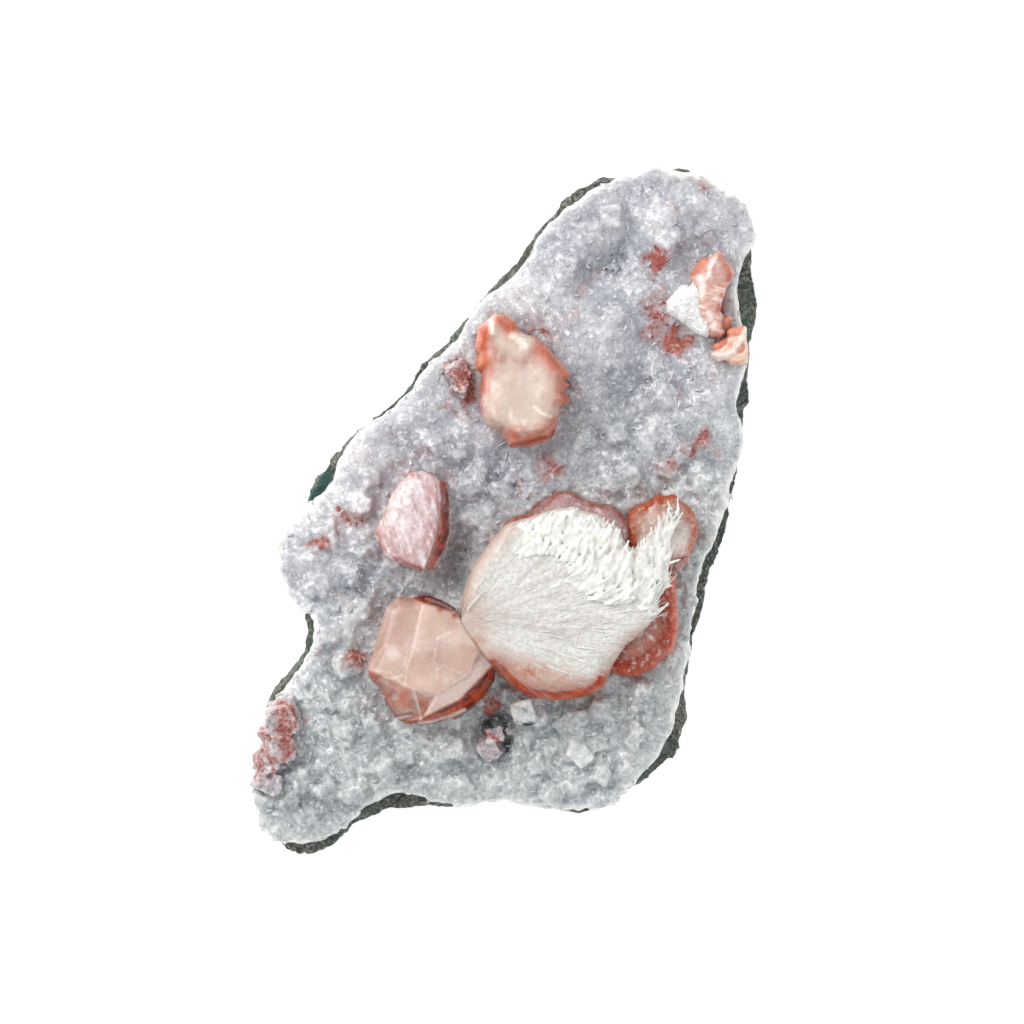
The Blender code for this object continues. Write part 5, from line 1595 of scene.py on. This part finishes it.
def makeSheaf():
    look = sheafLook
    piece, places, xy, depth, around = drawnUp("stilbiteSheaf", look)
    rough = rolling(places, 2.4, 101, 3)
    folds = rolling(columns(*xy.T), 6.0, 102, 2)
    layers = rolling(columns(*xy.T * 0.1, places[:, 2]), 1.2, 103, 3)
    top = look["wall"] + (look["crown"] - look["wall"]) * (1 - np.exp(-depth / 1.3))
    top = top + folds * 0.85 + rough * 0.06
    for route, width, rise in (([(2.6, 44.4), (5, 43.2), (5.4, 42)], 2.0, 1.4),
                               ([(-3.4, 49), (-3.2, 45)], 1.8, 0.7),
                               ([(0, 39), (4, 37.6), (5.4, 38)], 2.6, -0.7)):
        top = top + rise * stroke(xy, route, width)
    step = [(-8, 24), (-4, 23.6), (-0.6, 21.6), (2, 19.4), (13, 20.6), (14, 14), (-4, 14)]
    top = np.minimum(top - 0.9 * within(xy, step, 0.8), 44.6)
    wall = lifted(piece, places, look, top, layers * 0.3 + rough * 0.15)
    red = strongest(
        0.6 * (1 - smooth(depth + rough * 0.7, 0.1, 1.3)) * smooth(rolling(places, 5, 105, 2), -0.5, 0.4),
        drawn(xy, sheafReds),
        0.8 * stroke(xy, [(1, 18.8), (6, 18.4), (11, 19.8), (12.6, 22)], 4.0) * smooth(rough, -1.4, 0),
        wall,
    )
    across = columns(xy[:, 0] * 0.9 + xy[:, 1] * 0.5, (xy[:, 1] - xy[:, 0] * 0.5) * 0.3)
    threads = smooth(rolling(across, 1.2, 104), 0.1, 0.5)
    soft = smooth(rough, -0.8, 0.6)
    pale = strongest(
        drawn(xy, sheafPalesAndHighlight),
        0.85 * threads * stroke(xy, [(-2, 24.6), (3, 24), (5, 21.6)], 3.6),
        0.5 * stroke(xy, [(8, 34), (8.8, 29)], 3.6) * soft,
        0.45 * stroke(xy, [(-1.6, 29)], 3.4) * soft,
    )
    # painted shade: the middle is darker along two soft folds, and a little lighter where the folds stand
    # higher
    foldShade = 7 * stroke(xy, [(-1, 39.6), (3, 37.8), (6.4, 38.4)], 4.4)
    foldShade = foldShade + 5 * stroke(xy, [(2.4, 34), (3.4, 27)], 3.6)
    inward = (depth - foldShade) / 10 + folds * 0.06
    painted(piece, inward=inward, red=red, deep=drawn(xy, sheafDeeps), pale=pale)
    fibres(piece, depth, around)
    return piece


# The spur and the edge crystal: two orange and white crystals beside the tuft

spurLook = dict(
    skin=0.34, low=27.2, wall=33.4, tuck=0.9, crown=39.2, fibre=0.5, fibreLength=0.2, silk=0.4,
    depth=1.6, glow=0.7, coat=0.2, rough=0.2, silkLight=colour(246, 226, 220),
    silkDark=colour(196, 130, 112), mottle=2.4, waver=0.2,
    bands=[(0, colour(208, 146, 128)), (1.0, colour(216, 168, 154)), (10, colour(226, 192, 182))],
    redLight=colour(214, 136, 108), redDark=colour(190, 92, 66), deepest=colour(168, 66, 52),
    palest=colour(252, 244, 238), lean=0.12, facet=1.0, bump=0.4, grainy=0.16,
    outline=[(47.7, 60.3), (48.4, 61.4), (49.7, 63.8), (50.9, 65.2), (52.2, 65), (53.3, 65.5),
             (55.4, 67), (56.9, 64.7), (58.3, 63.2), (59.4, 61.2), (58.8, 59.1), (57.6, 58),
             (56.8, 56.2), (56.5, 54.9), (55.9, 53.1), (55.7, 51.2), (56.6, 50.1), (58.6, 50.3),
             (59, 48.2), (57.6, 46.4), (55.8, 44.6), (53.4, 44.6), (51.6, 45.6), (50, 50), (49.6, 56)],
)
edgeLook = dict(
    spurLook, low=27.2, wall=32.4, crown=37.4, silk=0.2, silkDark=colour(206, 144, 112),
    bands=[(0, colour(236, 206, 180)), (1.0, colour(240, 216, 196)), (10, colour(242, 222, 206))],
    redLight=colour(228, 152, 124), redDark=colour(204, 116, 88), deepest=colour(182, 96, 70),
    outline=[(62.3, 47.3), (60.3, 47.4), (58.5, 47.1), (57.4, 46.2), (57.5, 44.8), (56, 43.9),
             (54.4, 43), (53.7, 42.6), (54.2, 41.2), (53.3, 40.1), (54.2, 39), (55.3, 38.1),
             (56.9, 38.8), (58.3, 37.5), (60.9, 37.3), (62.7, 37.7), (63.1, 39.9), (62.7, 42.6),
             (62.5, 45)],
)
# the spur's slanted red face and its low foot, and the edge crystal's raised corner, slope and rib
spurFacet = [(47, 60), (49, 64.4), (51, 66), (52.4, 65.2), (53, 63.6), (51.6, 61.2), (50, 60.4)]
spurFoot = [(55.9, 46.9), (56.3, 50.4), (58.8, 51), (60, 48), (57.6, 45.4)]
edgeCorner = [(57, 46.6), (60.4, 48.2), (62, 48), (61.2, 45.2), (58.8, 44.4), (57.3, 44.4)]
edgeSlope = [(53, 42.8), (57.7, 45), (57.4, 43), (55.6, 41.4), (54.2, 41)]
edgeRib = [(53.4, 40.2), (55.6, 39.9), (57.2, 39.6), (59.2, 40.8), (60.8, 43.4), (62.2, 46.4)]


def makeSpur():
    look = spurLook
    piece, places, xy, depth, _ = drawnUp("stilbiteSpur", look)
    rough = rolling(places, 1.5, 111, 3)
    head = smooth(xy[:, 1], 57.5, 59.5)
    away = awayFrom(xy, [(55.2, 66.6), (53.4, 62.5), (52.4, 59)])
    ribs = rolling(columns(xy[:, 1] + 0.25 * xy[:, 0], xy[:, 0] * 0.15), 0.8, 112, 2)
    facet, foot = within(xy, spurFacet, 0.2), within(xy, spurFoot, 0.3)
    top = look["crown"] - 0.5 * away * head - 1.4 * np.exp(-depth / 0.7) + rough * 0.12
    top = top - facet - 2.4 * foot
    top = top + (1 - head) * (ribs * 0.3 - 0.6 - 0.12 * np.maximum(57 - xy[:, 1], 0))
    wall = lifted(piece, places, look, top, rough * 0.25)
    red = strongest(
        0.9 * facet + foot * 0.75,
        drawn(xy, [([(56, 65.4), (57.8, 62.6), (58.2, 60)], 2.2, 0.85),
                   ([(56.4, 57.2), (56, 54), (55.2, 51.6)], 1.3, 0.9),
                   ([(53.8, 45), (56, 44.9), (57.4, 46.2)], 1.1, 0.95)]),
        0.8 * stroke(xy, [(53.4, 58.2), (55.4, 57.8)], 1.6) * smooth(rough, -0.7, 0.2),
        wall,
    )
    deep = np.maximum(0.7 * stroke(xy, [(58.2, 60.6), (57.8, 59.2)], 1.3),
                      0.5 * stroke(xy, [(53, 58.8), (55.6, 57.4)], 0.9) * smooth(rough, -0.3, 0.3))
    # pale marks: a white vein across the head and down to the tuft, painted brighter as a highlight; a
    # pale stroke lower down and pale ribs on the lower part
    pale = strongest(
        0.95 * stroke(xy, [(54, 64), (52.8, 61.4), (50.6, 60)], 2.2) * smooth(rough, -0.9, 0.1),
        0.8 * stroke(xy, [(52.6, 50.6), (53.8, 47.4)], 1.7) * smooth(rough, -0.8, 0.2),
        0.95 * stroke(xy, [(50.2, 60), (51, 57.4), (50.8, 55)], 1.5),
        0.7 * (1 - head) * smooth(ribs, 0.1, 0.6) * (1 - foot),
    )
    painted(piece, inward=depth / 10, red=red, deep=deep, pale=pale * (1 - wall))
    fibres(piece, xy[:, 0] * 0.9 + xy[:, 1] * 0.4, xy[:, 1] * 0.9 - xy[:, 0] * 0.4)
    return piece


def makeEdgeCrystal():
    look = edgeLook
    piece, places, xy, depth, around = drawnUp("edgeCrystal", look)
    rough, grain = rolling(places, 1.5, 121, 3), rolling(places, 0.8, 122, 2)
    corner, slope, rib = within(xy, edgeCorner, 0.2), within(xy, edgeSlope, 0.2), stroke(xy, edgeRib, 1.1)
    oval = 1 - smooth(np.hypot((xy[:, 0] - 60.9) / 1.4, (xy[:, 1] - 42) / 1.5), 0.8, 1.1)
    top = look["crown"] - 1.2 * np.exp(-depth / 0.6) - 1.6 * slope + 0.7 * rib - 0.5 * oval + rough * 0.16
    top = top - 0.16 * np.maximum(43 - xy[:, 1], 0) + grain * 0.12 * (1 - corner)
    wall = lifted(piece, places, look, top, rough * 0.22)
    red = strongest(
        corner,
        0.95 * slope,
        0.85 * oval,
        drawn(xy, [([(56.6, 43.4), (58.4, 42.6)], 1.6, 0.55),
                   ([(57.6, 38.4), (60, 37.9), (61.6, 38.4)], 0.8, 0.6)]),
    )
    pale = np.maximum(0.95 * rib, 0.9 * stroke(xy, [(53.8, 39.8), (56.4, 39.4)], 1.5))
    painted(piece, inward=depth / 10, red=red * (1 - 0.8 * rib),
            deep=0.7 * slope * smooth(rough, -0.2, 0.6),
            pale=pale * smooth(grain, -1.0, 0.1) * (1 - wall))
    fibres(piece, depth, around)
    return piece


# Clusters of small crystals like the crust's own, with iron red between and round them

clusterLines = {
    "stilbite_red_cluster": [
        ([(-58.9, -50.4), (-56.6, -50), (-55.2, -51.2), (-54.2, -53.6), (-54.3, -56.2),
          (-57, -56.6)], 1.2, 1.5),
        ([(-58.6, -57.4), (-55.6, -58)], 2.2, 1.2), ([(-60.9, -53.7), (-59, -53.4)], 1.2, 0.9),
        ([(-61, -59.6), (-58.4, -58.9), (-56.4, -60.4), (-55.9, -62.8), (-57, -64.6), (-60, -64.8),
          (-62, -62.4)], 1.6, 1.3),
        ([(-58, -61.6), (-58.4, -63.6)], 1.4, 0.9),
        ([(-64.8, -66), (-62, -66.6), (-61.6, -69)], 1.5, 0.8),
        ([(-65, -63.6), (-63, -62.9), (-61, -64.4), (-59.6, -67), (-60.6, -69.4)], 1.5, 0.95),
        ([(-65, -69.6), (-63.8, -70.2)], 1.4, 1.2), ([(-62, -75)], 2.0, 0.5),
        ([(-57.4, -52), (-56.4, -62)], 5.6, 1.3), ([(-62.6, -58), (-64, -68)], 4.2, 1.15),
    ],
    "stilbite_vug_crystals": [([(-7.8, -57.3), (-5, -58), (-2.6, -59.2), (-0.5, -60.9)], 1.4, 1.4)],
    "stilbite_satellite": [
        ([(-15.6, 37.6), (-13.4, 38.8), (-10.4, 37.2), (-9.6, 34.2)], 2.0, 1.2),
        ([(-13, 34), (-11.6, 31)], 2.0, 1.1), ([(-15.6, 33), (-14, 30.4), (-10.6, 29.6)], 1.6, 1.0),
        ([(-12.6, 35.4), (-11, 32.6)], 4.6, 1.35),
    ],
}


def makeCluster(name, node, haze, seed):
    piece = refined(welded(name, node), 0.34, 0.3)
    places, normals = pointsOf(piece), normalsOf(piece)
    xy = places[:, :2]
    steps = cobbled(places, 2.2, seed)[1] - 0.5
    grain = rolling(places, 1.2, seed + 1, 3)
    movePoints(piece, places + normals * (steps * 0.5 + grain * 0.22)[:, None])
    places, normals = pointsOf(piece), normalsOf(piece)
    paintForm(piece, places, normals, edgesOf(piece))
    paint(piece, "stain", np.maximum(drawn(xy, clusterLines[node]), haze + 0.2 * grain))
    # painted light and shade: lighter where the grains stand out, darker in the low places between them
    paint(piece, "bright", smooth(grain, 0.0, 0.6))
    paint(piece, "hollow", 0.8 * smooth(-grain, 0.2, 0.7))
    paint(piece, "green", 0.25 + 0 * grain)
    paint(piece, "rim", 0 * grain)
    return piece


for piece, finish, look, slotName, node in (
    (makeBlock(), "peachBlock", blockCrystalLook, "block", "stilbite_block"),
    (makeTablet(), "pinkTablet", tabletLook, "tablet", "stilbite_tablet"),
    (makeSheaf(), "waxySheaf", sheafLook, "sheaf", "stilbite_sheaf"),
    (makeSpur(), "salmonSpur", spurLook, "spur", "stilbite_spur"),
    (makeEdgeCrystal(), "orangeEdge", edgeLook, "edge_crystal", "stilbite_edge_crystal"),
):
    finished(piece, stilbiteFinish(finish, look), slotName, node)
smallCrystals = crustFinish("smallCrystals")
for name, node, haze, seed in (("redCluster", "stilbite_red_cluster", 0.42, 131),
                               ("vugCrystals", "stilbite_vug_crystals", 0.46, 135),
                               ("satellite", "stilbite_satellite", 0.6, 139)):
    finished(makeCluster(name, node, haze, seed), smallCrystals, "small_crystals", node)


# The tuft: a sugary white mass of scolecite beside the spur

tuftLook = dict(
    skin=0.36, low=27.4, wall=32.6, tuck=0.8, crown=37.8, tried=9000, spacing=0.42, most=1900,
    grain=(0.35, 0.8),
    outline=[(49.4, 60.6), (48.9, 59.2), (48, 57.4), (45.9, 58.1), (44.6, 56.9), (43.3, 55.3),
             (41.9, 53.5), (42.1, 52), (42.4, 50.9), (44.4, 49.5), (45.7, 48.6), (46.8, 48),
             (48.4, 46.6), (50.6, 45.3), (52.4, 44.8), (53.5, 46.4), (53, 48.6), (52.2, 51), (51.3, 53),
             (51.4, 55.4), (51.3, 57.8), (52, 59.4), (51.2, 60.8), (50.2, 60.9)],
)


def makeTuft():
    look = tuftLook
    piece, places, _, depth, _ = drawnUp("scoleciteTuft", look)
    lumps = 0.5 - smooth(cobbled(places * (1, 1, 0), 1.5, 141)[0], 0, 0.9)
    top = look["crown"] - 1.8 * np.exp(-depth / 1.3) + lumps * 0.5 + rolling(places, 4, 142, 2) * 0.7
    lifted(piece, places, look, top, lumps * 0.3)
    return piece


def makeTuftGrains(tuft):
    look = tuftLook
    weight = smooth(pointsOf(tuft)[:, 2], 28.5, 30) + 1e-9
    at, normals, chance = sown(tuft, look, weight, 143)
    at, normals = at[:look["most"]], normals[:look["most"]]
    sizes = chance.uniform(*look["grain"], (len(at), 1)) * chance.uniform(0.6, 1.2, (len(at), 3))
    kinds = [blockKind("grainCut", 0.28), blockKind("grainSquare", 0.12)]
    turns = leaning(normals, 1.0, chance)
    return planted("tuftGrains", at - normals * 0.12, turns, sizes, kinds, sugarWhite, 144)


tuft = makeTuft()
sugarWhite = flakeFinish("sugarWhite", colour(246, 243, 240), colour(254, 253, 252))
finished(tuft, sugarWhite, "tuft", "scolecite_tuft")
finished(makeTuftGrains(tuft), sugarWhite, "tuft")


# Room: a pale floor, soft studio light and a camera that looks straight down

roomLook = dict(floorGlow=0.60, sky=0.54, key=8.8, keySize=0.7, fill=2.6, fillSize=0.8)
viewLook = dict(frameWidth=266.24, faceHeight=29.0, distance=1.2, centre=(1.96, -0.38))


def makeRoom():
    look = roomLook
    bpy.ops.mesh.primitive_grid_add(x_subdivisions=8, y_subdivisions=8, size=8)
    floor = bpy.context.object
    floor.name = "paleFloor"
    floor.location.z = -0.0002
    floor.data.materials.append(newMaterial("floorPaper", **{
        "Base Color": (0.86, 0.86, 0.86, 1), "Roughness": 0.9, "Emission Color": (1, 1, 1, 1),
        "Emission Strength": look["floorGlow"], "Specular IOR Level": 0.1,
    })[0])
    world = bpy.data.worlds.new("softRoom")
    world.use_nodes = True
    sky = world.node_tree.nodes["Background"].inputs
    sky["Color"].default_value = (0.97, 0.985, 1.0, 1)
    sky["Strength"].default_value = look["sky"]
    bpy.context.scene.world = world
    for name, place, power, size, tint in (
        ("keyLight", (-0.55, 0.50, 0.75), look["key"], look["keySize"], (1.0, 0.99, 0.97)),
        ("fillLight", (0.65, -0.35, 0.8), look["fill"], look["fillSize"], (0.95, 0.97, 1.0)),
    ):
        lamp = bpy.data.lights.new(name, "AREA")
        lamp.energy, lamp.size, lamp.color = power, size, tint
        stand = bpy.data.objects.new(name, lamp)
        stand.location = place
        stand.rotation_euler = (-Vector(place)).to_track_quat("-Z", "Y").to_euler()
        bpy.context.scene.collection.objects.link(stand)


def makeCamera():
    look = viewLook
    lens = bpy.data.cameras.new("overhead")
    lens.sensor_width = 36
    lens.lens = 36 * look["distance"] / (look["frameWidth"] * mm)
    lens.clip_start, lens.clip_end = 0.01, 20
    camera = bpy.data.objects.new("overhead", lens)
    camera.location = (look["centre"][0] * mm, look["centre"][1] * mm,
                       look["distance"] + look["faceHeight"] * mm)
    bpy.context.scene.collection.objects.link(camera)
    bpy.context.scene.camera = camera
    bpy.context.scene.view_settings.view_transform = "Standard"


makeRoom()
makeCamera()
